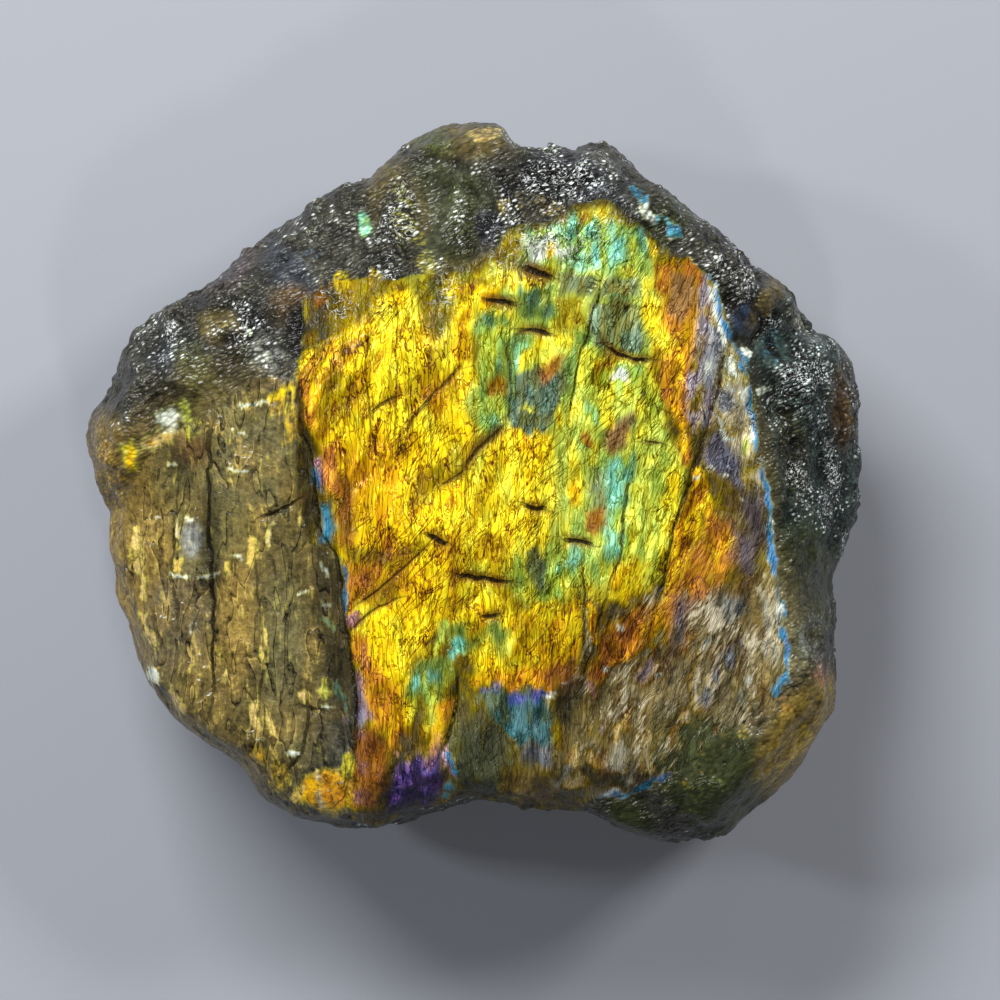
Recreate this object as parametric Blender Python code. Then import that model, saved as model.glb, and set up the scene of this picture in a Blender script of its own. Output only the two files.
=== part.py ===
"""A rough chunk of labradorite: one broken piece of stone that lies on a flat cleavage face.

+Z is up, +X runs across the stone's length and the origin is the middle of its underside.
The tables below are in millimetres and degrees, and everything that is built is in metres.
"""

import math

import bmesh
import bpy
from mathutils import Vector, noise

MM = 0.001

# Driving dimensions of the whole stone.
THICKNESS = 20.6  # from the resting face to the middle of the bright face
CROWN = 0.0016  # how fast the bright face falls away from its middle, per mm
GIRDLE_HEIGHT = 8.6  # where the flank is widest
GIRDLE_SWING = 1.5  # how far the girdle rises and dips on its way round
TOP_INSET = 0.06  # the share of the half width by which the girdle stands out past the top
BASE_INSET = 0.17  # the same for the resting face, which is undercut
ROUNDING = 0.3  # how softly neighbouring faces run into each other
OUTLINE_SPREAD = 1.024  # the outline is drawn at the bright face's scale; the girdle lies lower

# Mesh: cells along one side of the top face and rows up the flank.
TOP_CELLS = 42
FLANK_ROWS = 13

# The stone seen from above, anticlockwise from the right.
OUTLINE = [
    (26.3, 2.1), (26.0, 5.5), (25.9, 7.5), (25.4, 8.9), (23.9, 9.5), (22.5, 9.9),
    (21.6, 12.2), (20.2, 13.2), (17.7, 15.3), (14.9, 17.4), (12.7, 19.4), (10.9, 20.0),
    (9.7, 21.7), (8.8, 22.8), (8.1, 22.6), (6.9, 21.6), (5.0, 22.4), (3.5, 22.0),
    (2.6, 22.8), (1.8, 23.9), (0.6, 24.1), (-0.8, 24.0), (-2.5, 23.6), (-4.8, 22.4),
    (-7.2, 20.3), (-8.5, 19.8), (-11.7, 18.2), (-13.8, 16.4), (-15.5, 15.2), (-17.6, 13.2),
    (-20.5, 11.6), (-22.0, 11.1), (-23.0, 10.2), (-23.8, 7.2), (-24.2, 5.8), (-25.0, 4.7),
    (-26.0, 3.4), (-26.4, 2.4), (-25.5, 1.1), (-24.5, -0.6), (-23.9, -1.6), (-23.8, -4.5),
    (-23.2, -8.5), (-23.1, -10.7), (-22.3, -12.8), (-22.2, -14.1), (-20.6, -14.3), (-18.9, -16.2),
    (-17.9, -17.0), (-15.2, -18.6), (-13.8, -20.6), (-11.8, -22.4), (-8.8, -22.9), (-6.2, -22.9),
    (-4.1, -22.4), (-1.5, -21.4), (0.2, -20.8), (3.4, -21.3), (8.2, -21.9), (9.7, -23.0),
    (12.9, -24.1), (15.6, -24.0), (17.2, -23.5), (18.8, -21.7), (22.0, -19.2), (23.7, -16.1),
    (24.5, -14.7), (24.4, -13.3), (24.2, -9.9), (23.5, -7.3), (23.3, -5.9), (25.3, -2.2),
]  # fmt: skip

# Cleavage ledges that run down the bright face. edge holds the points of the ledge from top to
# bottom, side is the side that is lower (-1 is -X), drop is the height of the ledge and fall is
# the slope of the plate beyond it.
LEDGES = {
    "left_plates": {
        "edge": [(-11.9, 9.0), (-11.5, 1.4), (-9.6, -2.6), (-8.5, -7.9), (-7.8, -14.5), (-8.2, -23.0)],
        "side": -1.0,
        "drop": 0.9,
        "fall": 11.0,
    },
    "middle_plate": {
        "edge": [(-17.0, 5.0), (-17.6, -3.0), (-17.3, -10.0), (-17.8, -18.0)],
        "side": -1.0,
        "drop": 0.5,
        "fall": 7.0,
    },
    "outer_plate": {
        "edge": [(-21.6, 1.0), (-21.3, -6.0), (-19.4, -15.0)],
        "side": -1.0,
        "drop": 0.4,
        "fall": 24.0,
    },
    "right_plate": {
        "edge": [(16.6, 10.6), (15.5, 4.8), (14.2, -0.4), (12.6, -6.4), (11.8, -10.0), (11.4, -17.0)],
        "side": 1.0,
        "drop": 0.3,
        "fall": 5.0,
    },
    "middle_step": {
        "edge": [(9.0, 13.8), (7.4, 8.6), (7.9, 2.0), (9.6, -3.0), (8.6, -9.4), (7.4, -13.4)],
        "side": 1.0,
        "drop": 0.22,
        "fall": 0.0,
    },
}

# Broken faces round the rim: a point of the line where the face begins, the compass
# heading that it falls towards (0 is +X, 90 is +Y), its slope and its drop at that line.
RIM_FACES = {
    "right_upper": ((18.2, 5.6), 13.0, 47.0, 0.25),
    "right_lower": ((20.3, -7.0), 4.0, 54.0, 0.55),
    "upper_right": ((13.4, 16.4), 52.0, 49.0, 0.0),
    "top": ((5.6, 18.8), 91.0, 50.0, 0.0),
    "upper_band": ((-6.0, 13.6), 106.0, 13.0, 0.0),
    "upper_left": ((-4.5, 15.9), 114.0, 39.0, 0.5),
    "left_shoulder": ((-15.5, 6.6), 118.0, 31.0, 1.7),
    "left_tip": ((-22.6, 2.2), 176.0, 50.0, 3.0),
    "lower_left": ((-14.6, -16.4), 232.0, 38.0, 2.6),
    "bottom": ((0.0, -14.6), 268.0, 8.0, 0.0),
    "bottom_edge": ((0.0, -19.6), 272.0, 42.0, 0.8),
    "lower_right": ((14.4, -18.6), 301.0, 33.0, 0.5),
    "corner": ((21.2, -15.6), 322.0, 56.0, 1.6),
}

# Scoops broken out of the stone and knobs left on it: middle, reach and depth or height.
SCOOPS = {
    "shell_scoop": ((-2.1, 18.4), 4.6, 1.7),
    "side_scoop": ((-8.9, 16.3), 3.4, 0.6),
    "right_scoop": ((19.4, 9.6), 3.0, 0.8),
    "right_gully": ((20.6, 5.0), 2.6, 0.7),
    "shoulder_pit": ((-17.4, 6.2), 2.6, 0.6),
    "nub_notch": ((-20.3, 4.6), 2.4, 0.7),
    "flank_scoop": ((23.2, -8.0), 3.6, 0.8),
    "bottom_notch": ((0.6, -21.6), 3.6, 0.7),
    "face_dip": ((4.6, 4.6), 6.0, 0.35),
    "upper_dip": ((3.2, 12.4), 3.6, 0.3),
}
KNOBS = {
    "crest": ((0.4, 22.6), 3.4, 1.1),
    "crest_ridge": ((2.4, 19.6), 2.2, 0.7),
    "small_peak": ((8.5, 21.6), 2.0, 0.7),
    "right_knob": ((24.0, 6.2), 4.2, 1.1),
    "left_nub": ((-23.4, 3.2), 3.6, 1.5),
    "shoulder_knob": ((-15.2, 9.6), 3.4, 0.9),
    "shoulder_lump": ((-19.4, 7.4), 3.0, 0.8),
    "lower_knob": ((15.8, -21.6), 3.6, 0.5),
    "face_swell": ((-3.5, -5.0), 8.0, 0.4),
    "upper_swell": ((-6.0, 9.0), 5.0, 0.3),
    "lower_swell": ((14.5, -12.5), 4.5, 0.35),
}

# Flat faces split off the flank: a point of the face, its heading and how far it faces
# up (or, if negative, down).
FLANK_FACES = {
    "right_under": ((24.6, 2.0, 6.4), 8.0, -34.0),
    "right_wall": ((25.6, 5.0, 11.0), 22.0, 14.0),
    "corner_under": ((20.4, -18.4, 5.2), 318.0, -36.0),
    "front_under": ((3.0, -20.4, 5.4), 276.0, -41.0),
    "front_left_under": ((-14.4, -18.6, 6.6), 238.0, -27.0),
    "left_under": ((-22.4, -3.0, 5.2), 186.0, -44.0),
    "left_wall": ((-24.4, -2.6, 10.0), 194.0, 12.0),
    "back_left_under": ((-16.6, 12.8, 6.6), 141.0, -30.0),
    "back_under": ((-1.0, 21.6, 5.4), 99.0, -39.0),
    "back_wall": ((10.6, 21.2, 11.0), 63.0, 9.0),
    "back_right_under": ((17.4, 14.6, 7.0), 44.0, -24.0),
}

# Lumps of the broken and weathered rim: their size and height.
LUMP_SIZE = 3.1
LUMP_HEIGHT = 0.5
SWELL_SIZE = 7.5
SWELL_HEIGHT = 0.6
LUMP_OFFSET = Vector((3.7, 1.9, 8.3))
SWELL_OFFSET = Vector((11.3, 5.1, 2.6))
LUMP_OCTAVES = 3


def heading_vector(degrees):
    """The unit vector in the plan for a compass heading."""
    turn = math.radians(degrees)
    return math.cos(turn), math.sin(turn)


def smooth_step(value, low, high):
    """0 below low, 1 above high and an S between them."""
    share = min(1.0, max(0.0, (value - low) / (high - low)))
    return share * share * (3.0 - 2.0 * share)


def smooth_min(values, softness):
    """The least of the values, with the corners between them rounded."""
    least = min(values)
    total = sum(math.exp((least - value) / softness) for value in values)
    return least - softness * math.log(total)


def bump(x, y, middle, reach):
    """A round swelling: 1 at its middle and 0 from its reach outwards."""
    distance = math.hypot(x - middle[0], y - middle[1]) / reach
    return (1.0 - min(1.0, distance) ** 2) ** 2


def polar_outline():
    """The outline's points as (angle, radius), in order of angle."""
    return sorted((math.atan2(y, x), OUTLINE_SPREAD * math.hypot(x, y)) for x, y in OUTLINE)


def radius_at(angle, outline):
    """The outline's radius at an angle, read between its two nearest points."""
    last = len(outline) - 1
    after = next((i for i, (turn, _) in enumerate(outline) if turn >= angle), 0)
    before = after - 1 if after else last
    turn_before, radius_before = outline[before]
    turn_after, radius_after = outline[after]
    span = (turn_after - turn_before) % math.tau
    share = ((angle - turn_before) % math.tau) / span
    return radius_before + (radius_after - radius_before) * share


def ledge_fall(x, y, ledge):
    """How far a ledge has lowered the plate at a point of the plan."""
    edge = ledge["edge"]
    top, bottom = edge[0][1], edge[-1][1]
    level = min(max(y, bottom), top)
    edge_x = edge[0][0]
    for (x_high, y_high), (x_low, y_low) in zip(edge, edge[1:]):
        if y_low <= level <= y_high:
            edge_x = x_high + (x_low - x_high) * (y_high - level) / (y_high - y_low)
    beyond = ledge["side"] * (x - edge_x)
    fade = smooth_step(top - y, -0.5, 3.5)
    step = ledge["drop"] * smooth_step(beyond, -0.2, 0.9)
    return fade * (step + math.tan(math.radians(ledge["fall"])) * max(0.0, beyond))


def top_height(x, y):
    """Height of the upper side over a point of the plan."""
    height = THICKNESS - CROWN * (x * x + y * y)
    height -= sum(ledge_fall(x, y, ledge) for ledge in LEDGES.values())
    levels = [height]
    for (line_x, line_y), heading, slope, drop in RIM_FACES.values():
        away_x, away_y = heading_vector(heading)
        beyond = (x - line_x) * away_x + (y - line_y) * away_y
        levels.append(THICKNESS - drop - math.tan(math.radians(slope)) * beyond)
    height = smooth_min(levels, ROUNDING)
    height -= sum(depth * bump(x, y, middle, reach) for middle, reach, depth in SCOOPS.values())
    height += sum(rise * bump(x, y, middle, reach) for middle, reach, rise in KNOBS.values())
    return height


def face_planes():
    """The flank's split faces as (point, outward direction)."""
    planes = []
    for (x, y, z), heading, lift in FLANK_FACES.values():
        out_x, out_y = heading_vector(heading)
        level = math.cos(math.radians(lift))
        on_face = Vector((x * OUTLINE_SPREAD, y * OUTLINE_SPREAD, z))
        planes.append((on_face, Vector((out_x * level, out_y * level, math.sin(math.radians(lift))))))
    return planes


def split_back(point, planes):
    """Draws a point that lies beyond a split face back onto it."""
    for on_face, outward in planes:
        beyond = (point - on_face).dot(outward)
        if beyond > 0.0:
            point = point - outward * beyond
    point.z = max(0.0, point.z)
    return point


def girdle_height(angle):
    """Height at which the flank is widest."""
    return GIRDLE_HEIGHT + GIRDLE_SWING * math.sin(2.0 * angle + 0.7)


def disc_point(u, v):
    """A point of the square from -1 to 1 as the radius and angle of a disc, cells kept even."""
    if u == 0.0 and v == 0.0:
        return 0.0, 0.0
    if abs(u) > abs(v):
        radius = abs(u)
        angle = math.pi / 4 * v / u + (0.0 if u > 0 else math.pi)
    else:
        radius = abs(v)
        angle = math.pi / 2 - math.pi / 4 * u / v + (0.0 if v > 0 else math.pi)
    return radius, (angle + math.pi) % math.tau - math.pi


def stone_point(corner, outline):
    """Moves a point of the gridded cube to its place on the stone, in millimetres."""
    ring, angle = disc_point(corner.x, corner.y)
    inset = TOP_INSET if corner.z >= 0 else BASE_INSET
    on_flank = abs(corner.z) < 1.0
    rise = math.sin(corner.z * math.pi / 2) if on_flank else math.copysign(1.0, corner.z)
    bulge = math.cos(corner.z * math.pi / 2) if on_flank else 0.0
    reach = radius_at(angle, outline) * ring * (1.0 - inset + inset * bulge)
    x = reach * math.cos(angle)
    y = reach * math.sin(angle)
    girdle = girdle_height(angle)
    far = top_height(x, y) if corner.z >= 0 else 0.0
    return Vector((x, y, girdle + (far - girdle) * abs(rise)))


def roughness_at(point, normal):
    """How lumpy the stone is at a point: the flank and the rim are, the split faces aren't."""
    steep = 1.0 - smooth_step(normal.z, 0.72, 0.97)
    above_base = smooth_step(point.z, 0.3, 2.5)
    return steep * above_base


def lumps_at(point):
    """Height of the lumps at a point of the rim, in millimetres."""
    fine = noise.fractal(point / LUMP_SIZE + LUMP_OFFSET, 1.0, 2.0, LUMP_OCTAVES)
    broad = noise.noise(point / SWELL_SIZE + SWELL_OFFSET)
    return LUMP_HEIGHT * fine + SWELL_HEIGHT * broad


def is_level(edge):
    """Whether both of an edge's ends are at the same height."""
    return abs(edge.verts[0].co.z - edge.verts[1].co.z) < 1e-4


def gridded_cube():
    """A cube from -1 to 1, its top and bottom cut into square cells and its sides into rows."""
    mesh = bmesh.new()
    bmesh.ops.create_cube(mesh, size=2.0)
    upright = [edge for edge in mesh.edges if not is_level(edge)]
    bmesh.ops.subdivide_edges(mesh, edges=upright, cuts=FLANK_ROWS - 1, use_grid_fill=True)
    level = [edge for edge in mesh.edges if is_level(edge)]
    bmesh.ops.subdivide_edges(mesh, edges=level, cuts=TOP_CELLS - 1, use_grid_fill=True)
    return mesh


def shape_stone(mesh):
    """Moves the cube's points to the stone's form, roughens the rim and centres the stone."""
    outline = polar_outline()
    planes = face_planes()
    for vert in mesh.verts:
        vert.co = split_back(stone_point(vert.co, outline), planes)
    mesh.normal_update()
    moves = [
        (vert, vert.normal * roughness_at(vert.co, vert.normal) * lumps_at(vert.co))
        for vert in mesh.verts
    ]
    for vert, move in moves:
        vert.co += move
    xs = [vert.co.x for vert in mesh.verts]
    ys = [vert.co.y for vert in mesh.verts]
    middle = Vector(((min(xs) + max(xs)) / 2, (min(ys) + max(ys)) / 2, 0.0))
    for vert in mesh.verts:
        vert.co = (vert.co - middle) * MM


def join_flat_faces(mesh):
    """Makes the resting face one face, and each chip of the underside a few large ones."""
    under = [face for face in mesh.faces if face.normal.z < -0.8 and face.calc_center_median().z < 3 * MM]
    edges = {edge for face in under for edge in face.edges}
    verts = {vert for face in under for vert in face.verts}
    bmesh.ops.dissolve_limit(
        mesh, angle_limit=math.radians(0.4), verts=list(verts), edges=list(edges)
    )


def stone_material():
    """Dark, wet-looking feldspar."""
    material = bpy.data.materials.new("labradorite")
    material.use_nodes = True
    shader = material.node_tree.nodes["Principled BSDF"]
    shader.inputs["Base Color"].default_value = (0.14, 0.12, 0.06, 1.0)
    shader.inputs["Roughness"].default_value = 0.35
    shader.inputs["Metallic"].default_value = 0.0
    return material


def make_chunk(collection):
    """The stone, one closed solid."""
    mesh = gridded_cube()
    shape_stone(mesh)
    mesh.normal_update()
    join_flat_faces(mesh)
    data = bpy.data.meshes.new("labradorite_chunk")
    mesh.to_mesh(data)
    mesh.free()
    data.materials.append(stone_material())
    data.shade_smooth()
    data.set_sharp_from_angle(angle=math.radians(35.0))
    chunk = bpy.data.objects.new("labradorite_chunk", data)
    collection.objects.link(chunk)
    return chunk


def main():
    for old in list(bpy.data.objects):
        bpy.data.objects.remove(old, do_unlink=True)
    collection = bpy.data.collections.new("rough_labradorite")
    bpy.context.scene.collection.children.link(collection)
    make_chunk(collection)


main()
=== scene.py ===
import itertools
import math

import bmesh
import bpy
import numpy as np
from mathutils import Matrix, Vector


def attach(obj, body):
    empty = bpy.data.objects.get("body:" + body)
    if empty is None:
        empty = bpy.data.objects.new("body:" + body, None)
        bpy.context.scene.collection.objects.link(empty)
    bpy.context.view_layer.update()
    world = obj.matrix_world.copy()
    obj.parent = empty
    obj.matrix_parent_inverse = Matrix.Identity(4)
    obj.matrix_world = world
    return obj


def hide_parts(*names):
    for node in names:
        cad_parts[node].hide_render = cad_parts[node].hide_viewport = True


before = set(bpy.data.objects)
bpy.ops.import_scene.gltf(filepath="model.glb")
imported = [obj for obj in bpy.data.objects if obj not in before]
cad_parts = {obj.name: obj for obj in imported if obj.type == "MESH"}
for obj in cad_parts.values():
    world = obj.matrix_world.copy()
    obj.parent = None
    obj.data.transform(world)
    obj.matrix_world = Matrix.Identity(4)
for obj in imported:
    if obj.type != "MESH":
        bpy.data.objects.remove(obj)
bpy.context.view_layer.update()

mm = 0.001
stoneName = "labradorite_chunk"


seedSteps = (7.31, 3.17, 5.93)  # how far the next seed lies in a noise, in cells


class Wire:  # a socket of a node tree; arithmetic on it adds Math nodes
    def __init__(self, tree, socket=None):
        self.tree = tree
        self.socket = socket

    def node(self, kind, settings=None, values=None, out=0):
        # any node: its settings are set first, then the values or links of its sockets
        made = self.tree.nodes.new(kind)
        for name, value in (settings or {}).items():
            setattr(made, name, value)
        for name, value in (values or {}).items():
            sockets = [s for s in made.inputs if s.identifier == name]
            sockets = sockets or [s for s in made.inputs if s.name == name and s.enabled]
            if isinstance(value, Wire):
                self.tree.links.new(value.socket, sockets[0])
            else:
                sockets[0].default_value = value
        if isinstance(out, str):
            return Wire(self.tree, next(s for s in made.outputs if s.name == out and s.enabled))
        return Wire(self.tree, made.outputs[out])

    def math(self, operation, *others, clamp=False):
        values = {"Value": self}
        for place, other in enumerate(others):
            values["Value_00%d" % (place + 1)] = other
        return self.node("ShaderNodeMath", {"operation": operation, "use_clamp": clamp}, values)

    def __add__(self, other):
        return self.math("ADD", other)

    def __sub__(self, other):
        return self.math("SUBTRACT", other)

    def __rsub__(self, other):
        return (self * -1.0).math("ADD", other)

    def __mul__(self, other):
        return self.math("MULTIPLY", other)

    def __abs__(self):
        return self.math("ABSOLUTE")

    def least(self, other):
        return self.math("MINIMUM", other)

    def most(self, other):
        return self.math("MAXIMUM", other)

    def clamped(self):
        return self.math("ADD", 0.0, clamp=True)

    def rise(self, low, high):
        # 0 below low, 1 above high and an S between; with low above high it falls
        settings = {"interpolation_type": "SMOOTHSTEP"}
        flip = low > high
        values = {"Value": self, "From Min": min(low, high), "From Max": max(low, high)}
        values.update({"To Min": 1.0 if flip else 0.0, "To Max": 0.0 if flip else 1.0})
        return self.node("ShaderNodeMapRange", settings, values)

    def towards(self, other, share):
        # a value on its way to another one
        values = {"Factor_Float": share, "A_Float": self, "B_Float": other}
        return self.node("ShaderNodeMix", {"data_type": "FLOAT"}, values)

    def blend(self, colour, share):
        # a colour mixed with another one
        values = {"Factor_Float": share, "A_Color": self, "B_Color": colour}
        return self.node("ShaderNodeMix", {"data_type": "RGBA"}, values, "Result")

    def vector(self, operation, *others, scale=None):
        values = {"Vector": self}
        for place, other in enumerate(others):
            values["Vector_00%d" % (place + 1)] = other
        if scale is not None:
            values["Scale"] = scale
        return self.node("ShaderNodeVectorMath", {"operation": operation}, values)

    def stretched(self, across, along, deep, lean=0.0):
        # coordinates counted in cells of these sizes, turned about the upright axis
        turned = self
        if lean:
            values = {"Vector": self, "Angle": math.radians(lean)}
            turned = self.node("ShaderNodeVectorRotate", {"rotation_type": "Z_AXIS"}, values)
        return turned.vector("MULTIPLY", (1.0 / across, 1.0 / along, 1.0 / deep))

    def moved(self, seed):
        # another part of the same noise
        return self.vector("ADD", tuple(seed * step for step in seedSteps)) if seed else self

    def grain(self, detail=2.0, rough=0.5, bend=0.0, seed=0.0):
        # noise of one cell's size, mostly between -1 and 1
        values = {"Vector": self.moved(seed), "Scale": 1.0, "Detail": detail}
        values.update({"Roughness": rough, "Distortion": bend})
        return (self.node("ShaderNodeTexNoise", {}, values) - 0.5) * 4.0

    def drift(self, seed=0.0):
        # a vector that wanders, mostly between -1 and 1
        values = {"Vector": self.moved(seed), "Scale": 1.0, "Detail": 1.0}
        wander = self.node("ShaderNodeTexNoise", {}, values, "Color")
        return wander.vector("SUBTRACT", (0.5, 0.5, 0.5)).vector("SCALE", scale=4.0)

    def cells(self, feature="F1", seed=0.0, soft=None):
        # distance to the nearest of scattered points, and their colours as its other output
        values = {"Vector": self.moved(seed), "Scale": 1.0, "Randomness": 1.0}
        if soft is not None:
            values["Smoothness"] = soft
        return self.node("ShaderNodeTexVoronoi", {"feature": feature}, values)

    def other(self, name):
        # another output of the same node
        return Wire(self.tree, self.socket.node.outputs[name])

    def painted(self, name, out="Fac"):
        # a field that was painted on the mesh
        return self.node("ShaderNodeAttribute", {"attribute_name": name}, {}, out)


# Places and sizes on the stone are in millimetres, as seen from above: +x is to the right, +y
# away, and its middle is 0, 0. Leans are in degrees, and a positive one leans the top to the right.
# The flashes, the shadows and the courses of the cracks are drawn on a square plan. It is counted
# in steps, to the right and down from its upper left corner.
plan = {
    "step": 0.0666,  # the length of a step, mm
    "middle": (472.5, 481.5),  # where the stone's middle lies, in steps
}

# the split face, and the lower plates on its left
faceOutline = [
    (-11.5, 12.1), (-9.5, 13.7), (-2.2, 13.8), (1.5, 15.6), (2.4, 16.9), (4.8, 17.4), (6.8, 18.5),
    (9.2, 18.8), (12.5, 16.1), (15.7, 13.6), (16.5, 12.1), (17.2, 10.1), (18.1, 8.4), (18.6, 6.4),
    (19.0, 4.3), (19.5, 0.8), (20.2, -2.6), (20.4, -6.6), (20.9, -9.2), (21.0, -11.2), (20.8, -13.9),
    (20.1, -15.6),
    (16.5, -16.9), (13.8, -19.5), (11.2, -20.9), (7.8, -21.5), (5.0, -27.0), (-9.0, -27.0),
    (-8.2, -21.2), (-7.8, -14.5), (-8.5, -10.6), (-8.8, -5.2), (-10.9, -4.2), (-11.9, 0.6), (-11.7, 6.8),
]
plateOutline = [
    (-11.5, 6.9), (-15.1, 6.7), (-17.1, 4.8), (-20.8, 2.8), (-22.5, 0.4), (-23.5, -1.3), (-24.8, -2.6),
    (-27.0, -14.0), (-18.0, -24.0), (-9.0, -27.0), (-8.2, -21.2), (-7.8, -14.5), (-8.5, -10.6),
    (-8.8, -5.2), (-10.9, -4.2), (-11.9, 0.6),
]

# the flash, the stone's labradorescence, a reflection from inside it that is painted into its colour:
# hue (0 violet, 0.14 blue, 0.28 teal, 0.37 green, 0.53 yellow, 0.58 gold, 0.66 orange,
# 0.72 copper, 0.8 rose, 0.9 lilac, 0.96 grey, 1 silver, also the white of painted glints, 1.06 cream,
# 1.1 old gold, 1.18 grey green, 1.3 dusty rose, 1.36 slate, 1.5 brown), strength, softness, then
# either the middle, the reach both ways and the lean of a patch, or the width and the points of a
# strand, or an outline, in steps
goldFlashes = {
    "goldMain": (0.57, 0.97, 0.34, [(296, 362), (318, 345), (340, 332), (362, 316), (374, 298),
        (395, 290), (430, 288), (470, 280), (500, 290), (488, 312), (474, 322), (470, 350), (474, 376),
        (464, 400), (470, 420), (490, 436), (512, 428), (530, 432), (556, 434), (560, 470), (556, 510),
        (550, 545), (535, 560), (515, 565), (508, 590), (510, 612), (520, 636), (550, 640), (566, 655),
        (572, 676), (545, 684), (520, 682), (480, 682), (470, 662), (462, 640), (442, 622), (428, 640),
        (418, 665), (405, 690), (396, 720), (392, 742), (372, 728), (362, 700), (356, 665), (350, 640),
        (345, 620), (345, 600), (342, 560), (336, 530), (330, 500), (322, 470), (312, 440), (303, 410),
        (297, 385)]),
    "brightColumn": (0.535, 1, 0.34, [(508, 436), (556, 438), (557, 500), (548, 542), (520, 596),
        (496, 600), (470, 605), (456, 590), (456, 545), (462, 500), (474, 462), (490, 448)]),
    "brightUpper": (0.55, 1, 0.34, [(372, 306), (400, 292), (478, 286), (474, 330), (464, 384),
        (440, 424), (404, 446), (376, 430), (366, 380)]),
    "brightLow": (0.575, 0.95, 0.34, [(380, 604), (440, 606), (462, 612), (450, 624), (432, 632),
        (418, 662), (396, 688), (380, 668), (362, 650), (376, 626)]),
    "brightCentre": (0.57, 1, 0.34, [(402, 436), (444, 432), (452, 470), (446, 536), (420, 540),
        (400, 500)]),
    "amberLeft": (0.61, 0.9, 0.5, [(330, 452), (398, 440), (404, 500), (398, 545), (352, 545),
        (342, 500)]),
    "amberLower": (0.585, 1, 0.4, [(398, 560), (448, 552), (456, 592), (440, 606), (398, 604)]),
    "olivePatch": (0.59, 0.5, 0.45, [(318, 380), (338, 378), (330, 410), (346, 420), (322, 446),
        (310, 440), (318, 410)]),
    "oliveSlant": (0.57, 0.8, 0.45, [(340, 376), (360, 372), (352, 404), (326, 430), (330, 408)]),
    "darkSlant": (0.575, 0.55, 0.45, [(440, 460), (462, 440), (498, 424), (510, 418), (508, 432),
        (486, 446), (468, 470), (446, 484), (430, 480)]),
    "darkSlantLow": (0.6, 0.5, 0.45, [(412, 474), (440, 464), (440, 484), (424, 496), (414, 520),
        (408, 500)]),
    "oliveUnderTop": (0.53, 0.6, 0.45, [(424, 296), (452, 294), (448, 316), (432, 330), (424, 318)]),
    "brownWear": (0.6, 0.72, 0.5, [(420, 384), (462, 372), (456, 400), (440, 424), (428, 410)]),
    "shadedBand": (0.59, 0.45, 0.3, [(342, 546), (380, 550), (422, 544), (406, 562), (384, 570),
        (346, 562)]),
    "copperBlock": (0.665, 0.62, 0.45, [(346, 562), (378, 562), (384, 584), (376, 604), (350, 606)]),
    "copperWedge": (0.64, 0.66, 0.45, [(376, 566), (408, 568), (412, 590), (390, 602), (380, 590)]),
}
leftEdgeFlashes = {
    "orangeEdge": (0.655, 0.92, 0.34, [(295, 376), (308, 384), (315, 400), (317, 424), (308, 434),
        (301, 420)]),
    "copperColumn": (0.68, 0.4, 0.34, [(334, 470), (346, 478), (356, 500), (356, 546), (340, 546),
        (336, 520)]),
    "peachColumn": (0.72, 0.95, 0.34, [(320, 452), (336, 446), (334, 480), (340, 500), (326, 500),
        (319, 480)]),
    "peachFoot": (0.7, 0.9, 0.34, [(348, 640), (368, 640), (372, 664), (358, 668), (350, 656)]),
    "pinkEdge": (0.82, 0.75, 0.5, 3, [(318, 462), (320, 485), (322, 498)]),
    "blueSliver": (0.12, 0.9, 0.3, [(304, 477), (314, 472), (319, 485), (320, 500), (312, 500),
        (306, 492)]),
    "violetBead": (0.9, 0.7, 0.1, [(310, 464), (318, 462), (318, 474), (308, 474)]),
    "tealSliver": (0.17, 0.62, 0.3, [(316, 508), (329, 506), (334, 528), (328, 544), (318, 546),
        (320, 528)]),
    "paleSliver": (1, 0.6, 0.5, 3, [(322, 512), (319, 530), (318, 540)]),
    "blueThread": (0.14, 0.5, 0.5, 4, [(344, 566), (345, 590), (345, 616)]),
    "pinkKnot": (0.83, 0.7, 0.35, (352, 624), (9, 7), 60),
    "lilacWedge": (0.91, 0.62, 0.34, [(354, 674), (364, 678), (366, 700), (374, 716), (364, 726),
        (352, 722), (356, 700)]),
    "lilacBead": (0.9, 0.7, 0.35, (346, 722), (4, 6), 0),
    "orangeRibs": (0.65, 0.72, 0.34, [(364, 668), (380, 664), (398, 690), (396, 712), (388, 732),
        (374, 728), (368, 700)]),
}
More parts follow.
